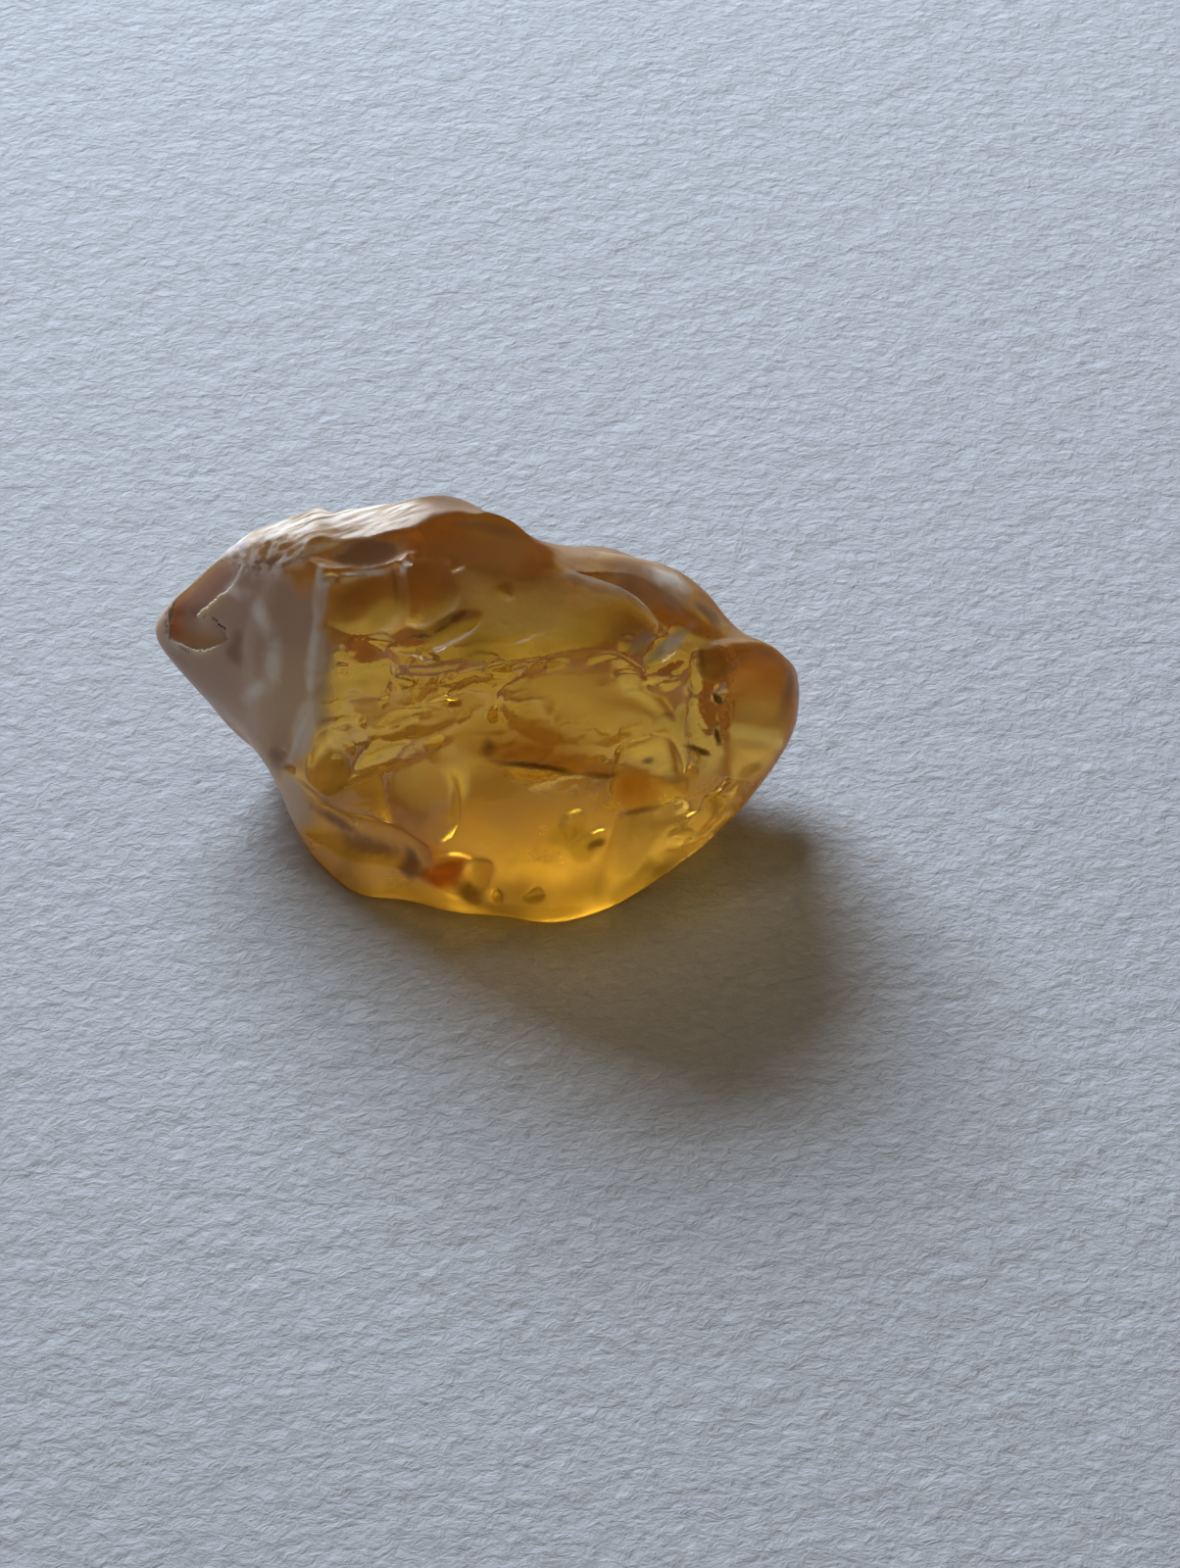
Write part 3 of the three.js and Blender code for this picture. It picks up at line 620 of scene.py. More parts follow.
def zone_mask(p, zones):
    """1 at the middle of a zone, falling smoothly to 0 at its rim."""
    mask = np.zeros(len(p))
    for _, *oval in zones:
        away = np.linalg.norm(in_oval(p, *oval), axis=1)
        mask = np.maximum(mask, eased(np.clip((1.0 - away) / ZONE_RIM, 0.0, 1.0)))
    return mask


def patch_mask(p, wandered, noises, patch):
    """How much of a patch lies on each point: its strength inside, 0 outside, with a soft and ragged edge."""
    name, at, faces, turn, half_size, softness, raggedness, strength = patch
    small = min(half_size) < SMALL_PATCH
    q = in_oval(p if small or not raggedness else wandered, at, faces, turn, half_size)
    edge = np.clip((1 - np.linalg.norm(q, axis=1) - noises[small] * raggedness) / softness, 0.0, 1.0)
    mask = strength * eased(edge)
    if name in HALVED:
        mask *= np.clip(q[:, 1] / HALF_EDGE + 0.5, 0.0, 1.0)
    return mask


def add_values(mesh, name, values):
    """Keeps a number or a vector for each vertex as an attribute of the mesh."""
    kind, slot = ("FLOAT", "value") if values.ndim == 1 else ("FLOAT_VECTOR", "vector")
    mesh.attributes.new(name, kind, "POINT").data.foreach_set(slot, values.astype(np.float32).ravel())


def add_finish(mesh, p, look):
    """Paints the finishes on the mesh: colour, then cover, clearness and roughness, then the lean of the
    normals. Each has its cover multiplied in, so the crystal's own values only have to be added."""
    wandered = p.copy()
    for order, (scale, shift) in enumerate(WANDER):
        for axis in range(3):
            wandered[:, axis] += 2 * shift * NOISE_GAIN * value_noise(p, scale, WANDER_SEED * order + axis)
    noises = [NOISE_GAIN * value_noise(p, scale, RAGGED_SEED + order) for order, scale in enumerate(RAGGED)]
    colour, traits, lean = np.zeros((3, len(p), 3))
    for finish, (clearness, roughness, leaning, patches) in FINISHES.items():
        masks = [patch_mask(p, wandered, noises, patch) for patch in patches]
        mask = np.maximum.reduce(masks)[:, None]
        tint = look.tint if finish == "crown" else getattr(look, finish)
        colour += mask * (np.array(tint) - colour)
        traits += mask * (np.array((1.0, clearness, roughness)) - traits)
        lean += mask * np.array(leaning)
    for name, values in (("finish colour", colour), ("finish", traits), ("lean", lean)):
        add_values(mesh, name, values)


def stone_mesh(shape, look):
    """The stone as a closed mesh of quads, with its zones and finishes as attributes."""
    def field(p):
        return stone_field(p, shape.lobe_join / MM, shape.hollow_edge / MM)

    step = shape.mesh_step / MM
    low, high = np.array(GRID_LOW), np.array(GRID_HIGH)
    counts = (np.ceil((high - low) / step / COARSE).astype(int) + 1) * COARSE
    vertices, quads = net_of(grid_values(field, low, counts, step), low, step)
    vertices = settled(field, vertices)
    mesh = bpy.data.meshes.new("zircon stone")
    mesh.vertices.add(len(vertices))
    mesh.vertices.foreach_set("co", ((vertices - MIDDLE) * MM).astype(np.float32).ravel())
    mesh.loops.add(quads.size)
    mesh.loops.foreach_set("vertex_index", quads.astype(np.int32).ravel())
    mesh.polygons.add(len(quads))
    mesh.polygons.foreach_set("loop_start", np.arange(0, quads.size, 4, dtype=np.int32))
    mesh.polygons.foreach_set("loop_total", np.full(len(quads), 4, dtype=np.int32))
    mesh.update(calc_edges=True)
    if mesh.validate():
        raise RuntimeError("the stone's mesh came out damaged")
    add_values(mesh, "fresh break", zone_mask(vertices, FRESH_BREAKS))
    add_values(mesh, "striated", zone_mask(vertices, STRIATED))
    add_finish(mesh, vertices, look)
    mesh.shade_smooth()
    return mesh


# ---- Nodes --------------------------------------------------------------------------------------------

def fill(tree, node, values):
    """Fills a node's inputs, by name or number: another node's output is linked, a plain value is set."""
    for name, value in values.items():
        if isinstance(value, bpy.types.NodeSocket):
            tree.links.new(value, node.inputs[name])
        else:
            node.inputs[name].default_value = value


def new_node(tree, kind, inputs=None, **settings):
    """A node with its settings made and its inputs filled."""
    node = tree.nodes.new(kind)
    for name, value in settings.items():
        setattr(node, name, value)
    fill(tree, node, inputs or {})
    return node


def maths(tree, operation, *values):
    """The output of a Math node on outputs and plain numbers."""
    return new_node(tree, "ShaderNodeMath", dict(enumerate(values)), operation=operation).outputs[0]


def vector_maths(tree, operation, *values):
    """The output of a Vector Math node on outputs and plain vectors."""
    node = new_node(tree, "ShaderNodeVectorMath", dict(enumerate(values)), operation=operation)
    return node.outputs["Value" if operation == "DOT_PRODUCT" else "Vector"]


def scaled(tree, vector, scale):
    """A vector times a number."""
    inputs = {"Vector": vector, "Scale": scale}
    return new_node(tree, "ShaderNodeVectorMath", inputs, operation="SCALE").outputs["Vector"]


def parts_of(tree, vector):
    """The X, Y and Z outputs of a vector."""
    return new_node(tree, "ShaderNodeSeparateXYZ", {0: vector}).outputs


def ramp(tree, value, low, high, start=0.0, end=1.0, kind="SMOOTHSTEP"):
    """A value taken from one range to another, and kept within it."""
    inputs = {"Value": value, "From Min": low, "From Max": high, "To Min": start, "To Max": end}
    return new_node(tree, "ShaderNodeMapRange", inputs, interpolation_type=kind).outputs["Result"]


def mixed(tree, factor, a, b):
    """Between a and b, which are outputs or plain numbers."""
    return new_node(tree, "ShaderNodeMix", {0: factor, 2: a, 3: b}, data_type="FLOAT").outputs[0]


def mixed_colour(tree, factor, a, b):
    """Between two colours, which are outputs or three plain numbers."""
    a, b = ((*colour, 1.0) if isinstance(colour, tuple) else colour for colour in (a, b))
    return new_node(tree, "ShaderNodeMix", {0: factor, 6: a, 7: b}, data_type="RGBA").outputs[2]


def noise(tree, vector, scale, **more):
    """A noise from 0 to 1, with its scale per millimetre."""
    inputs = {"Vector": vector, "Scale": scale / MM, **more}
    return new_node(tree, "ShaderNodeTexNoise", inputs).outputs["Fac"]


def patchy(tree, vector, pattern, start, end):
    """A value that goes softly from start to end and back with a noise."""
    scale, low, high = pattern
    level = maths(tree, "SUBTRACT", noise(tree, vector, scale, Detail=PATTERN_DETAIL), 0.5)
    return ramp(tree, level, low, high, start, end)


def turned(way):
    """The turn from +X to a way, given as azimuth and elevation."""
    return Vector(direction(*way)).to_track_quat("X", "Z").to_euler()


def drawn_out(tree, vector, turn, times):
    """Coordinates in which a pattern is some times as long along its turned X as across it."""
    inputs = {"Vector": vector, "Rotation": turn, "Scale": (times, 1.0, 1.0)}
    return new_node(tree, "ShaderNodeMapping", inputs, vector_type="TEXTURE").outputs[0]


def vertex_value(tree, name, output="Fac"):
    """What the mesh keeps for its vertices under a name."""
    return new_node(tree, "ShaderNodeAttribute", attribute_name=name).outputs[output]


# ---- Weathering ---------------------------------------------------------------------------------------

BREAK_WAY = (-20, 22)  # the way that the steps on the fresh breaks run: azimuth, elevation
GROWTH_WAY = (12, 8)  # the way that the growth lines run
STAIR_WARP = 2.5  # how far the stairs wander, in their own widths
FOOT_FADE = (0.02 * MM, 0.5 * MM)  # heights between which the relief comes in, so that the foot stays flat

# Kinds of relief: its name, the mesh attribute that limits it, how drawn out it is along the way it runs,
# that way, and the detail of its noise.
RELIEF = (
    ("Swell", None, 1.0, (0, 0), 1.0),
    ("Ruffle", None, 1.0, (0, 0), 2.0),
    ("Hackle", "fresh break", 4.0, BREAK_WAY, 1.5),
    ("Striae", "striated", 7.0, GROWTH_WAY, 1.0),
    ("Stairs", "fresh break", 6.0, BREAK_WAY, 1.0),
)


def weathering_tree(material):
    """Geometry Nodes that ruffle a surface along its normals, more on its fresh breaks."""
    tree = bpy.data.node_groups.new("stone weathering", "GeometryNodeTree")
    face = tree.interface
    face.new_socket("Geometry", in_out="INPUT", socket_type="NodeSocketGeometry")
    for name, *_ in RELIEF:
        for size in (" depth", " width"):
            face.new_socket(name + size, in_out="INPUT", socket_type="NodeSocketFloat").subtype = "DISTANCE"
    face.new_socket("Seed", in_out="INPUT", socket_type="NodeSocketFloat")
    face.new_socket("Geometry", in_out="OUTPUT", socket_type="NodeSocketGeometry")
    given = tree.nodes.new("NodeGroupInput").outputs
    place = tree.nodes.new("GeometryNodeInputPosition").outputs[0]
    normal = tree.nodes.new("GeometryNodeInputNormal").outputs[0]
    total = None
    for order, (name, limit, times, way, detail) in enumerate(RELIEF):
        at = place
        if times != 1.0:
            inputs = {"Vector": at, "Rotation": turned(way)}
            turn = new_node(tree, "ShaderNodeVectorRotate", inputs, rotation_type="EULER_XYZ", invert=True)
            at = vector_maths(tree, "MULTIPLY", turn.outputs[0], (1.0 / times, 1.0, 1.0))
        at = vector_maths(tree, "DIVIDE", at, given[name + " width"])
        start = maths(tree, "ADD", given["Seed"], float(order))
        inputs = {"Vector": at, "W": start, "Detail": detail, "Scale": 1.0}
        height = new_node(tree, "ShaderNodeTexNoise", inputs, noise_dimensions="4D").outputs["Fac"]
        if name == "Stairs":
            rise = parts_of(tree, at)["Z"]
            height = maths(tree, "FRACT", maths(tree, "MULTIPLY_ADD", height, STAIR_WARP, rise))
        height = maths(tree, "SUBTRACT", height, 0.5)
        height = maths(tree, "MULTIPLY", height, given[name + " depth"])
        if limit:
            mask = new_node(tree, "GeometryNodeInputNamedAttribute", {"Name": limit}, data_type="FLOAT")
            height = maths(tree, "MULTIPLY", height, mask.outputs["Attribute"])
        total = height if total is None else maths(tree, "ADD", total, height)
    off_floor = ramp(tree, parts_of(tree, place)["Z"], *FOOT_FADE, kind="LINEAR")
    shift = scaled(tree, normal, maths(tree, "MULTIPLY", total, off_floor))
    moved = new_node(tree, "GeometryNodeSetPosition", {"Geometry": given["Geometry"], "Offset": shift})
    whole = new_node(tree, "GeometryNodeRealizeInstances", {0: moved.outputs[0]})
    finish = new_node(tree, "GeometryNodeSetMaterial", {"Geometry": whole.outputs[0], "Material": material})
    new_node(tree, "NodeGroupOutput", {0: finish.outputs[0]})
    return tree


def weathered(mesh, shape, material):
    """A new mesh: the given one after the weathering tree."""
    rough = bpy.data.objects.new("zircon rough", mesh)
    bpy.context.scene.collection.objects.link(rough)
    modifier = rough.modifiers.new("weathering", "NODES")
    modifier.node_group = weathering_tree(material)
    values = {"Seed": shape.seed}
    for name, *_ in RELIEF:
        for size in ("depth", "width"):
            values[f"{name} {size}"] = getattr(shape, f"{name.lower()}_{size}")
    for item in modifier.node_group.interface.items_tree:
        if item.in_out == "INPUT" and item.name in values:
            modifier[item.identifier] = float(values[item.name])
    bpy.context.view_layer.update()
    seen = rough.evaluated_get(bpy.context.evaluated_depsgraph_get())
    result = bpy.data.meshes.new_from_object(seen)
    rough.modifiers.clear()
    bpy.data.objects.remove(rough)
    result.shade_smooth()
    return result


# ---- Crystal and paper --------------------------------------------------------------------------------

# A pattern is a noise's scale (per millimetre), and the levels about its middle that a value goes between.
STREAKS = (9.0, -0.12, 0.12)  # along the growth lines
WISPS = (1.6, 0.0, 0.16)  # faint and drawn out, in the crystal
HANDLING = (1.1, -0.2, 0.2)  # uneven polish of the worn faces
FROSTING = (0.7, -0.15, 0.15)  # uneven frost on the back
PATTERN_DETAIL = 3.0
STREAKS_DRAWN, WISPS_DRAWN = 9.0, 3.5  # how many times as long as wide
STREAK_COVER = (0.1, 0.85)  # how much of the veil lies between the streaks, and on them
HANDLED = (0.8, 1.2)  # least and most roughness of the worn faces, in their own roughness
THIN_FROST = 0.7  # roughness of the thinnest frost, in the back's own roughness
PITS = {"scale": 9.0, "Detail": 4.0}  # noise of the fine pits, per millimetre
PIT_STRENGTH, PIT_DEPTH = 0.25, 0.02 * MM
WISP = (0.72, 0.70, 0.62)  # what the wisps take off the tint
CLOUD_SPREAD = (1.0, 0.6, 0.25)  # how far red, green and blue light wander in the cloudy share
BACK_WAY, BACK_RANGE = (0.0, 1.0, 0.15), (-0.1, 0.4)  # where the frost comes in
HIDDEN_WAY, HIDDEN_RANGE = (0.0, 1.0, -0.4), (0.35, 0.75)  # where the painted finishes fade
# Faces that look down are painted darker: painted shade on the underside.
UNDER_RANGE = (-0.9, -0.5)  # how far up a face looks between the underside and the sides
KEPT_BEHIND = 0.15  # how much of the painted finishes is left on the back
# The ledge's painted highlight: how clear and how rough the whitish colour on the ledge is.
LEDGE_CLEARNESS = 0.15
LEDGE_ROUGHNESS = 0.5

PAPER_ROUGHNESS = 0.85
PAPER_DARK = 0.9  # the darker fibres' colour, as a share of the paper's
FIBRE_RANGE = (0.3, 0.7)  # noise between the darker and the paler fibres
FIBRES = {"scale": 4.2, "Detail": 6.0, "Roughness": 0.7, "Distortion": 0.5}  # their noise, per millimetre
FIBRES_DRAWN, FIBRES_TURN = 1.25, 12  # how many times as long as wide, and their turn in degrees
MOTTLE = {"scale": 1.1, "Detail": 3.0, "Roughness": 0.6}  # noise of the low mottle, per millimetre
MOTTLE_HEIGHT = 1.2  # its height, in that of the fibres
PAPER_STRENGTH, PAPER_DEPTH = 0.8, 0.11 * MM


def crystal_material(look):
    """Clear amber crystal, frosted behind and streaked on its ledge, with the painted finishes over it."""
    material = bpy.data.materials.new("amber crystal")
    material.use_nodes = True
    tree = material.node_tree
    place = tree.nodes.new("ShaderNodeTexCoord").outputs
    at, normal = place["Object"], place["Normal"]

    frost = ramp(tree, vector_maths(tree, "DOT_PRODUCT", normal, BACK_WAY), *BACK_RANGE)
    under = ramp(tree, parts_of(tree, normal)["Z"], *UNDER_RANGE, 1.0, 0.0)
    kept = ramp(tree, vector_maths(tree, "DOT_PRODUCT", normal, HIDDEN_WAY), *HIDDEN_RANGE, 1.0, KEPT_BEHIND)
    streaks = drawn_out(tree, at, turned(GROWTH_WAY), STREAKS_DRAWN)
    streak = patchy(tree, streaks, STREAKS, *STREAK_COVER)
    # The ledge takes a whitish colour, less clear and rougher: a painted highlight where the light's
    # reflection falls, streaked along the growth lines.
    ledge = maths(tree, "MULTIPLY", vertex_value(tree, "striated"), streak)
    cover, clearness, roughness = parts_of(tree, vertex_value(tree, "finish", "Vector"))
    bare = maths(tree, "SUBTRACT", 1.0, maths(tree, "MULTIPLY", cover, kept))

    wisp = patchy(tree, drawn_out(tree, at, turned(BREAK_WAY), WISPS_DRAWN), WISPS, 0.0, 1.0)
    wispy = tuple(a * b for a, b in zip(look.tint, WISP))
    colour = mixed_colour(tree, wisp, tuple(look.tint), wispy)
    # Faces that look down take the underside tint: painted shade.
    colour = scaled(tree, mixed_colour(tree, under, colour, tuple(look.underside)), bare)
    paint = scaled(tree, vertex_value(tree, "finish colour", "Vector"), kept)
    colour = mixed_colour(tree, ledge, vector_maths(tree, "ADD", colour, paint), tuple(look.veil_and_highlight))

    through = maths(tree, "MULTIPLY_ADD", bare, look.clearness, maths(tree, "MULTIPLY", clearness, kept))

    rough = patchy(tree, at, HANDLING, *(look.polish * share for share in HANDLED))
    rough = mixed(tree, vertex_value(tree, "fresh break"), rough, look.fresh_polish)
    rough = mixed(tree, frost, rough, patchy(tree, at, FROSTING, THIN_FROST * look.frost, look.frost))
    rough = maths(tree, "MULTIPLY_ADD", bare, rough, maths(tree, "MULTIPLY", roughness, kept))

    inputs = {"Strength": PIT_STRENGTH, "Distance": PIT_DEPTH, "Height": noise(tree, at, **PITS)}
    pitted = new_node(tree, "ShaderNodeBump", inputs).outputs[0]
    leaning = vector_maths(tree, "ADD", pitted, vertex_value(tree, "lean", "Vector"))

    inputs = {"Color": (*look.body_colour, 1.0), "Density": look.density / MM}
    volume = new_node(tree, "ShaderNodeVolumeAbsorption", inputs)
    fill(tree, tree.nodes["Material Output"], {"Volume": volume.outputs[0]})
    fill(tree, tree.nodes["Principled BSDF"], {
        "Base Color": colour,
        "Transmission Weight": mixed(tree, ledge, through, LEDGE_CLEARNESS),
        "Roughness": mixed(tree, ledge, rough, LEDGE_ROUGHNESS),
        "Normal": vector_maths(tree, "NORMALIZE", leaning),
        "IOR": look.ior,
        "Specular IOR Level": look.shine,
        "Specular Tint": (*look.sheen_tint, 1.0),
        "Subsurface Weight": look.cloud,
        "Subsurface Radius": CLOUD_SPREAD,
        "Subsurface Scale": look.cloud_depth,
    })
    return material


def paper_material(stage):
    """Pale rough paper, with fibres and a low mottle."""
    material = bpy.data.materials.new("pale paper")
    material.use_nodes = True
    tree = material.node_tree
    at = tree.nodes.new("ShaderNodeTexCoord").outputs["Object"]
    along = drawn_out(tree, at, (0.0, 0.0, math.radians(FIBRES_TURN)), FIBRES_DRAWN)
    fibres = noise(tree, along, **FIBRES)
    dark = tuple(PAPER_DARK * c for c in stage.paper)
    shade = mixed_colour(tree, ramp(tree, fibres, *FIBRE_RANGE), dark, tuple(stage.paper))
    height = maths(tree, "MULTIPLY_ADD", noise(tree, at, **MOTTLE), MOTTLE_HEIGHT, fibres)
    inputs = {"Strength": PAPER_STRENGTH, "Distance": PAPER_DEPTH, "Height": height}
    relief = new_node(tree, "ShaderNodeBump", inputs).outputs[0]
    values = {"Base Color": shade, "Roughness": PAPER_ROUGHNESS, "Normal": relief}
    fill(tree, tree.nodes["Principled BSDF"], values)
    return material


# ---- Settings -----------------------------------------------------------------------------------------

def tone(name, description, default):
    """A colour setting."""
    return FloatVectorProperty(
        name=name, description=description, default=default, min=0.0, max=1.0, size=3, subtype="COLOR")


def share(name, description, default):
    """A setting from 0 to 1."""
    return FloatProperty(
        name=name, description=description, default=default, min=0.0, max=1.0, subtype="FACTOR")


def strength(name, description, default, least=0.0):
    """A plain number."""
    return FloatProperty(name=name, description=description, default=default, min=least)


def length(name, description, default, least=0.0):
    """A length setting, given in millimetres."""
    return FloatProperty(
        name=name, description=description, default=default * MM, min=least * MM, unit="LENGTH", precision=5)


def angle(name, description, default):
    """An angle setting, given in degrees."""
    return FloatProperty(
        name=name, description=description, default=math.radians(default), subtype="ANGLE")


class ZirconShape(bpy.types.PropertyGroup):
    """Sizes of the stone's surface."""

    mesh_step: length("Mesh step", "Size of the faces that the stone is meshed with", 0.054, 0.03)
    lobe_join: length("Lobe join", "How widely the lobes flow into each other", 0.25, 0.01)
    hollow_edge: length("Hollow edge", "Rounding of the edges round hollows and chips", 0.03, 0.005)
    swell_depth: length("Swell depth", "Depth of the low swells that water has left", 0.06)
    swell_width: length("Swell width", "Width of the low swells", 0.9, 0.01)
    ruffle_depth: length("Ruffle depth", "Depth of the fine ruffles", 0.012)
    ruffle_width: length("Ruffle width", "Width of the fine ruffles", 0.3, 0.01)
    hackle_depth: length("Hackle depth", "Depth of the small steps on the fresh breaks", 0.055)
    hackle_width: length("Hackle width", "Width of the small steps on the fresh breaks", 0.28, 0.01)
    striae_depth: length("Striae depth", "Depth of the growth lines along the top ledge", 0.07)
    striae_width: length("Striae width", "Width of the growth lines along the top ledge", 0.14, 0.01)
    stairs_depth: length("Stairs depth", "Height of the fine stairs on the fresh breaks", 0.035)
    stairs_width: length("Stairs width", "Size of the fine stairs", 0.38, 0.01)
    seed: IntProperty(name="Seed", description="Picks another weathering pattern", default=4)


class ZirconLook(bpy.types.PropertyGroup):
    """Colours and clearness of the crystal."""

    ior: strength("Refraction", "How strongly the crystal bends light", 1.82, 1.0)
    clearness: share("Clearness", "How much of the crystal is clear rather than cloudy", 0.95)
    cloud: share("Cloud", "How much of the cloudy part glows through", 0.35)
    cloud_depth: length("Cloud depth", "How far light wanders in the cloudy crystal", 0.8)
    shine: share("Shine", "Strength of reflections off the cloudy surface", 0.12)
    sheen_tint: tone("Reflection tint", "Tint of reflections off the surface", (1.0, 0.85, 0.70))
    tint: tone("Skin tint", "Colour that light takes as it passes through the skin", (1.0, 0.755, 0.36))
    body_colour: tone("Body colour", "Colour that light keeps in the crystal", (0.985, 0.81, 0.03))
    density: strength("Colour depth", "How strongly one millimetre of crystal colours the light", 0.40)
    polish: share("Front roughness", "Roughness of the worn faces", 0.33)
    fresh_polish: share("Break roughness", "Roughness of the fresh breaks", 0.14)
    frost: share("Back roughness", "Roughness of the frosted back", 0.95)
    # Painted shade: darkens the faces that look down.
    underside: tone("Underside", "Tint of the underside", (0.5, 0.36, 0.14))
    gold: tone("Gold", "Tint of the palest, brightest crystal", (1.0, 0.74, 0.36))
    gleam: tone("Gleam", "Tint of the brightest tops", (1.0, 0.80, 0.40))
    amber: tone("Amber", "Tint of the glow in the right lobe", (1.0, 0.82, 0.40))
    # Painted shade: the dark olive-brown laid on the dome and the other places where the crystal looks dark.
    painted_shade: tone("Smoke", "Olive-brown tint of the dome", (0.38, 0.30, 0.08))
    # Painted shade along the foot of the stone.
    shade: tone("Shade", "Brown tint along the foot of the stone", (0.12, 0.075, 0.02))
    # Painted reflection of the surroundings on the knob and the left face, in a purplish brown.
    mauve_reflection: tone("Mauve skin", "Colour of the skin on the knob and the left face", (0.66, 0.51, 0.43))
    # Red-brown skin, partly painted shade along the rims, under the ledge and on the low bands.
    rust_and_shade: tone("Red-brown skin", "Colour of the rims and bands", (0.37, 0.21, 0.14))
    # Painted reflection: the pale colour of the long bevel.
    bevel_reflection: tone("Grey bevel", "Colour of the long bevel", (0.90, 0.80, 0.72))
    pale: tone("Pale flat", "Colour of the small flat on the knob", (0.80, 0.72, 0.58))
    # Painted shade in dark orange, on the cove floor, the scoop and the low band.
    stain: tone("Orange stain", "Colour of the dark orange stains on the front", (0.50, 0.17, 0.005))
    iron: tone("Iron stain", "Colour of the red-orange iron stain", (0.75, 0.16, 0.01))
    # Whitish film, and painted highlight on the ledge, the bevel lines, the curved edge and the white sliver.
    veil_and_highlight: tone("Veil", "Colour of the whitish veils and the ledge", (1.0, 0.98, 0.97))
    # Dark cracks, and painted shade along the lips of the cove and the scoop.
    cracks_and_shade: tone("Dark lines", "Colour of the cracks and dark lips", (0.12, 0.05, 0.01))


class ZirconStage(bpy.types.PropertyGroup):
    """The paper, light and camera."""

    paper: tone("Paper", "Colour of the paper", (0.59, 0.615, 0.65))
    light: strength("Light", "Strength of the soft key light", 5.5)
    light_colour: tone("Light colour", "Colour of the soft key light", (0.745, 0.855, 1.0))
    light_distance: length("Light distance", "How far the light stands from the stone", 220, 50)
    light_azimuth: angle("Light azimuth", "How far left of straight behind the light stands", 21)
    light_height: angle("Light height", "Angle of the light above the paper", 27)
    light_width: angle("Light width", "Angle that the light fills from side to side", 38)
    light_depth: angle("Light depth", "Angle that the light fills from top to bottom", 18)
    high: strength("High light", "Strength of the small high light that makes the stone glint", 0.2)
    high_colour: tone("High light colour", "Colour of the small high light", (1.0, 0.96, 0.9))
    high_azimuth: angle("High light azimuth", "How far left of straight behind the high light stands", 12)
    high_height: angle("High light height", "Angle of the high light above the paper", 62)
    high_size: angle("High light size", "Angle that the high light fills", 10)
    ambient: strength("Ambient", "Strength of the light from all round", 0.115)
    ambient_colour: tone("Ambient colour", "Colour of the light from all round", (1.0, 0.74, 0.48))
    camera_height: angle("Camera height", "Angle of the camera above the paper", 40)
    camera_distance: length("Camera distance", "How far the camera is from the point it looks at", 110)


# ---- Operators ----------------------------------------------------------------------------------------

AIR_GAP = 0.035 * MM  # the stone touches the paper at a few points only
PAPER_HALF = 400 * MM
AIM = (2.069, 0.815, 0.0)  # point on the paper at the middle of the view, mm
FRAME_SCALE = 55.0 / 1600 / MM  # how much of the frame's long side one metre at the aim fills
SENSOR = 36  # width of the camera's sensor, mm
NEAREST = 1 * MM  # the nearest that the camera sees
BOUNCES = {"max": 12, "transmission": 12, "glossy": 6, "diffuse": 3}


class ZIRCON_OT_stone(bpy.types.Operator):
    """Make the zircon stone"""

    bl_idname = "zircon.stone"
    bl_label = "Make the stone"

    def execute(self, context):
        shape, look = context.scene.zircon_shape, context.scene.zircon_look
        mesh = weathered(stone_mesh(shape, look), shape, crystal_material(look))
        if not mesh.polygons:
            raise RuntimeError("the stone has no faces")
        if not mesh.materials:
            raise RuntimeError("the stone has no material")
        mesh.name = "zircon stone"
        stone = bpy.data.objects.new("zircon_stone", mesh)
        context.scene.collection.objects.link(stone)
        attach(stone, "root")
        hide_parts("zircon")
        return {"FINISHED"}


def add_lamp(name, power, colour, away, azimuth, height, width, depth):
    """A soft oval lamp that looks at the stone. Its width and depth are angles as seen from the stone."""
    level = math.cos(height)
    bearing = Vector((-math.sin(azimuth) * level, math.cos(azimuth) * level, math.sin(height)))
    lamp = bpy.data.lights.new(name, "AREA")
    lamp.shape = "ELLIPSE"
    lamp.size = 2 * away * math.tan(width / 2)
    lamp.size_y = 2 * away * math.tan(depth / 2)
    lamp.color = colour
    lamp.energy = power * math.pi * away * away
    holder = bpy.data.objects.new(name, lamp)
    holder.location = bearing * away
    holder.rotation_euler = (-bearing).to_track_quat("-Z", "Y").to_euler()
    bpy.context.scene.collection.objects.link(holder)


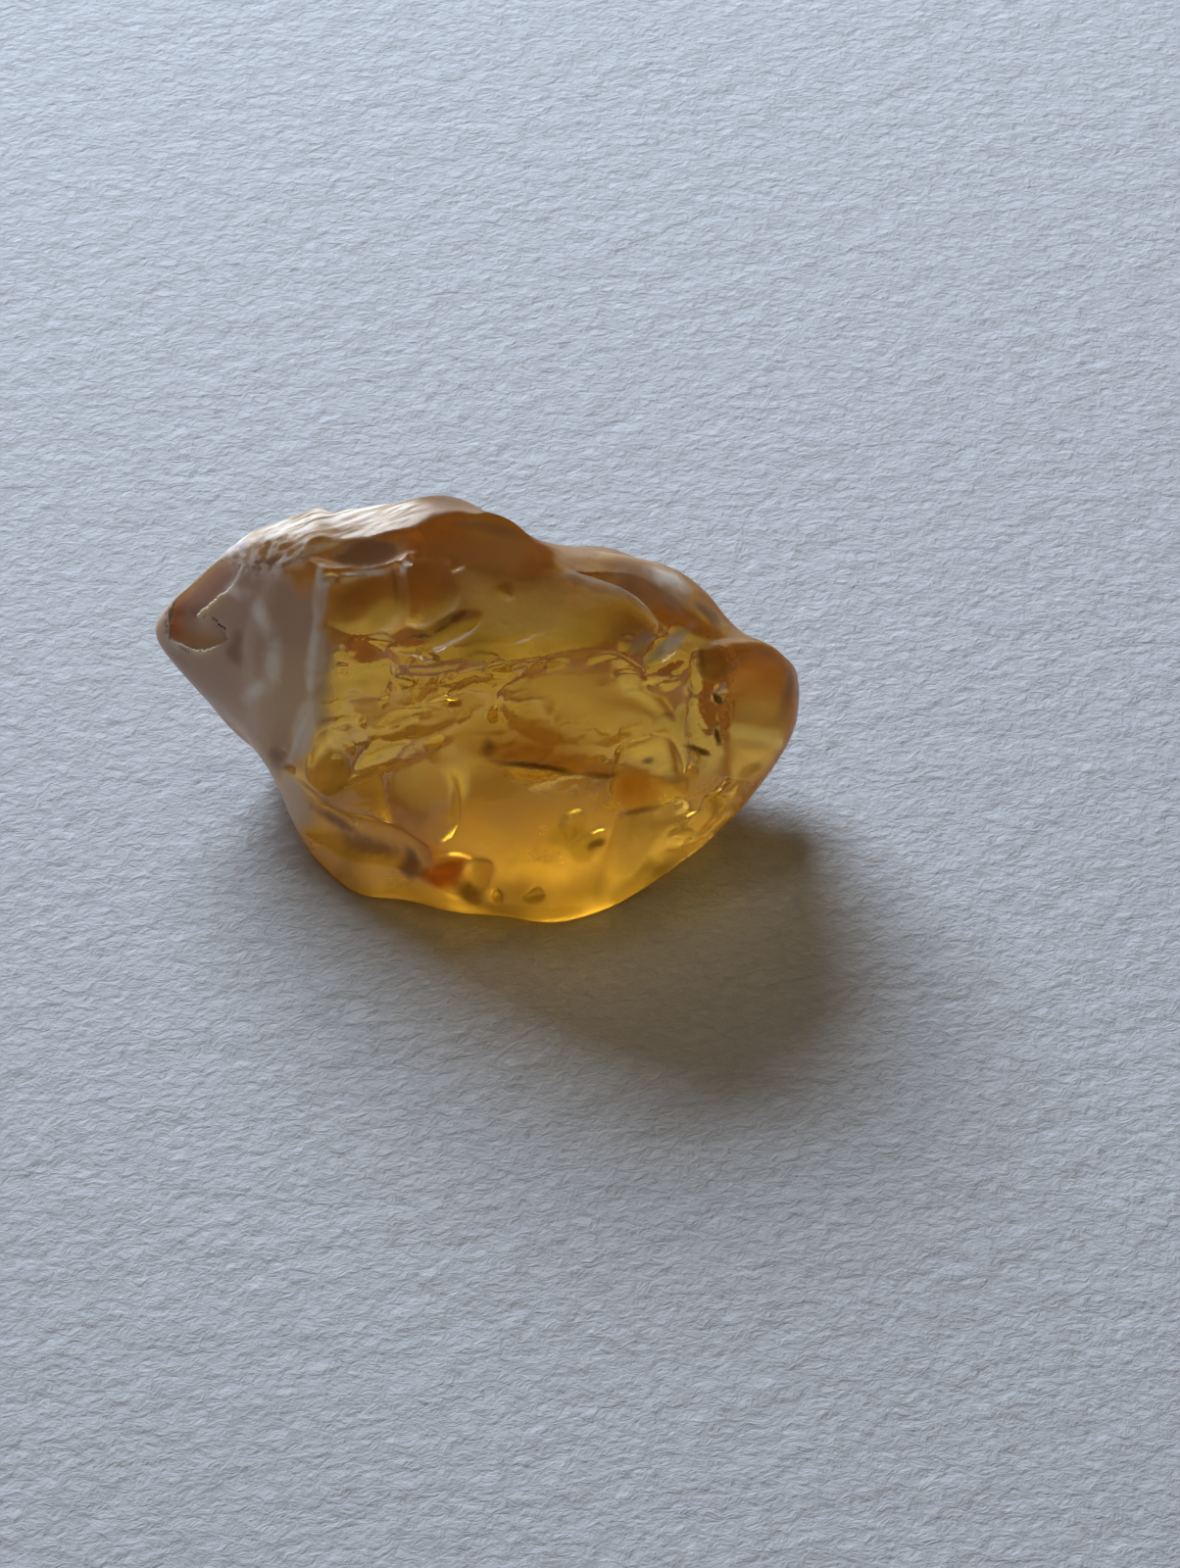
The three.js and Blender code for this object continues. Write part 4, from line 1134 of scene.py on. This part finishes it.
class ZIRCON_OT_stage(bpy.types.Operator):
    """Lay the paper and set up the light and the camera"""

    bl_idname = "zircon.stage"
    bl_label = "Set the stage"

    def execute(self, context):
        scene = context.scene
        stage = scene.zircon_stage
        sheet = bpy.data.meshes.new("paper")
        corners = ((-1, -1), (1, -1), (1, 1), (-1, 1))
        corners = [(x * PAPER_HALF, y * PAPER_HALF, -AIR_GAP) for x, y in corners]
        sheet.from_pydata(corners, [], [(0, 1, 2, 3)])
        sheet.materials.append(paper_material(stage))
        paper = bpy.data.objects.new("paper", sheet)
        scene.collection.objects.link(paper)

        world = bpy.data.worlds.new("soft surroundings")
        world.use_nodes = True
        back = world.node_tree.nodes["Background"]
        back.inputs["Color"].default_value = (*stage.ambient_colour, 1.0)
        back.inputs["Strength"].default_value = stage.ambient
        scene.world = world

        away = stage.light_distance
        add_lamp(
            "soft light", stage.light, stage.light_colour, away, stage.light_azimuth, stage.light_height,
            stage.light_width, stage.light_depth)
        add_lamp(
            "high light", stage.high, stage.high_colour, away, stage.high_azimuth, stage.high_height,
            stage.high_size, stage.high_size)

        ahead = Vector((0.0, math.cos(stage.camera_height), -math.sin(stage.camera_height)))
        lens = bpy.data.cameras.new("camera")
        lens.sensor_width = SENSOR
        lens.lens = SENSOR * FRAME_SCALE * stage.camera_distance
        lens.clip_start = NEAREST
        camera = bpy.data.objects.new("camera", lens)
        camera.location = Vector(AIM) * MM - ahead * stage.camera_distance
        camera.rotation_euler = ahead.to_track_quat("-Z", "Y").to_euler()
        scene.collection.objects.link(camera)
        scene.camera = camera
        scene.view_settings.view_transform = "Standard"
        for kind, most in BOUNCES.items():
            setattr(scene.cycles, kind + "_bounces", most)
        return {"FINISHED"}


class ZIRCON_PT_panel(bpy.types.Panel):
    """Lists what can be made"""

    bl_idname = "ZIRCON_PT_panel"
    bl_label = "Rough zircon"
    bl_space_type = "VIEW_3D"
    bl_region_type = "UI"
    bl_category = "Zircon"

    def draw(self, context):
        for name, group, operator in (
            ("Shape", context.scene.zircon_shape, "zircon.stone"),
            ("Look", context.scene.zircon_look, None),
            ("Stage", context.scene.zircon_stage, "zircon.stage"),
        ):
            box = self.layout.box()
            box.label(text=name)
            for prop in group.__annotations__:
                box.prop(group, prop)
            if operator:
                box.operator(operator)


GROUPS = {"zircon_shape": ZirconShape, "zircon_look": ZirconLook, "zircon_stage": ZirconStage}
CLASSES = (*GROUPS.values(), ZIRCON_OT_stone, ZIRCON_OT_stage, ZIRCON_PT_panel)


def register():
    for made in CLASSES:
        bpy.utils.register_class(made)
    for name, group in GROUPS.items():
        setattr(bpy.types.Scene, name, PointerProperty(type=group))


def unregister():
    for name in GROUPS:
        delattr(bpy.types.Scene, name)
    for made in reversed(CLASSES):
        bpy.utils.unregister_class(made)


def main():
    register()
    bpy.ops.zircon.stone()
    bpy.ops.zircon.stage()


if __name__ == "__main__":
    main()
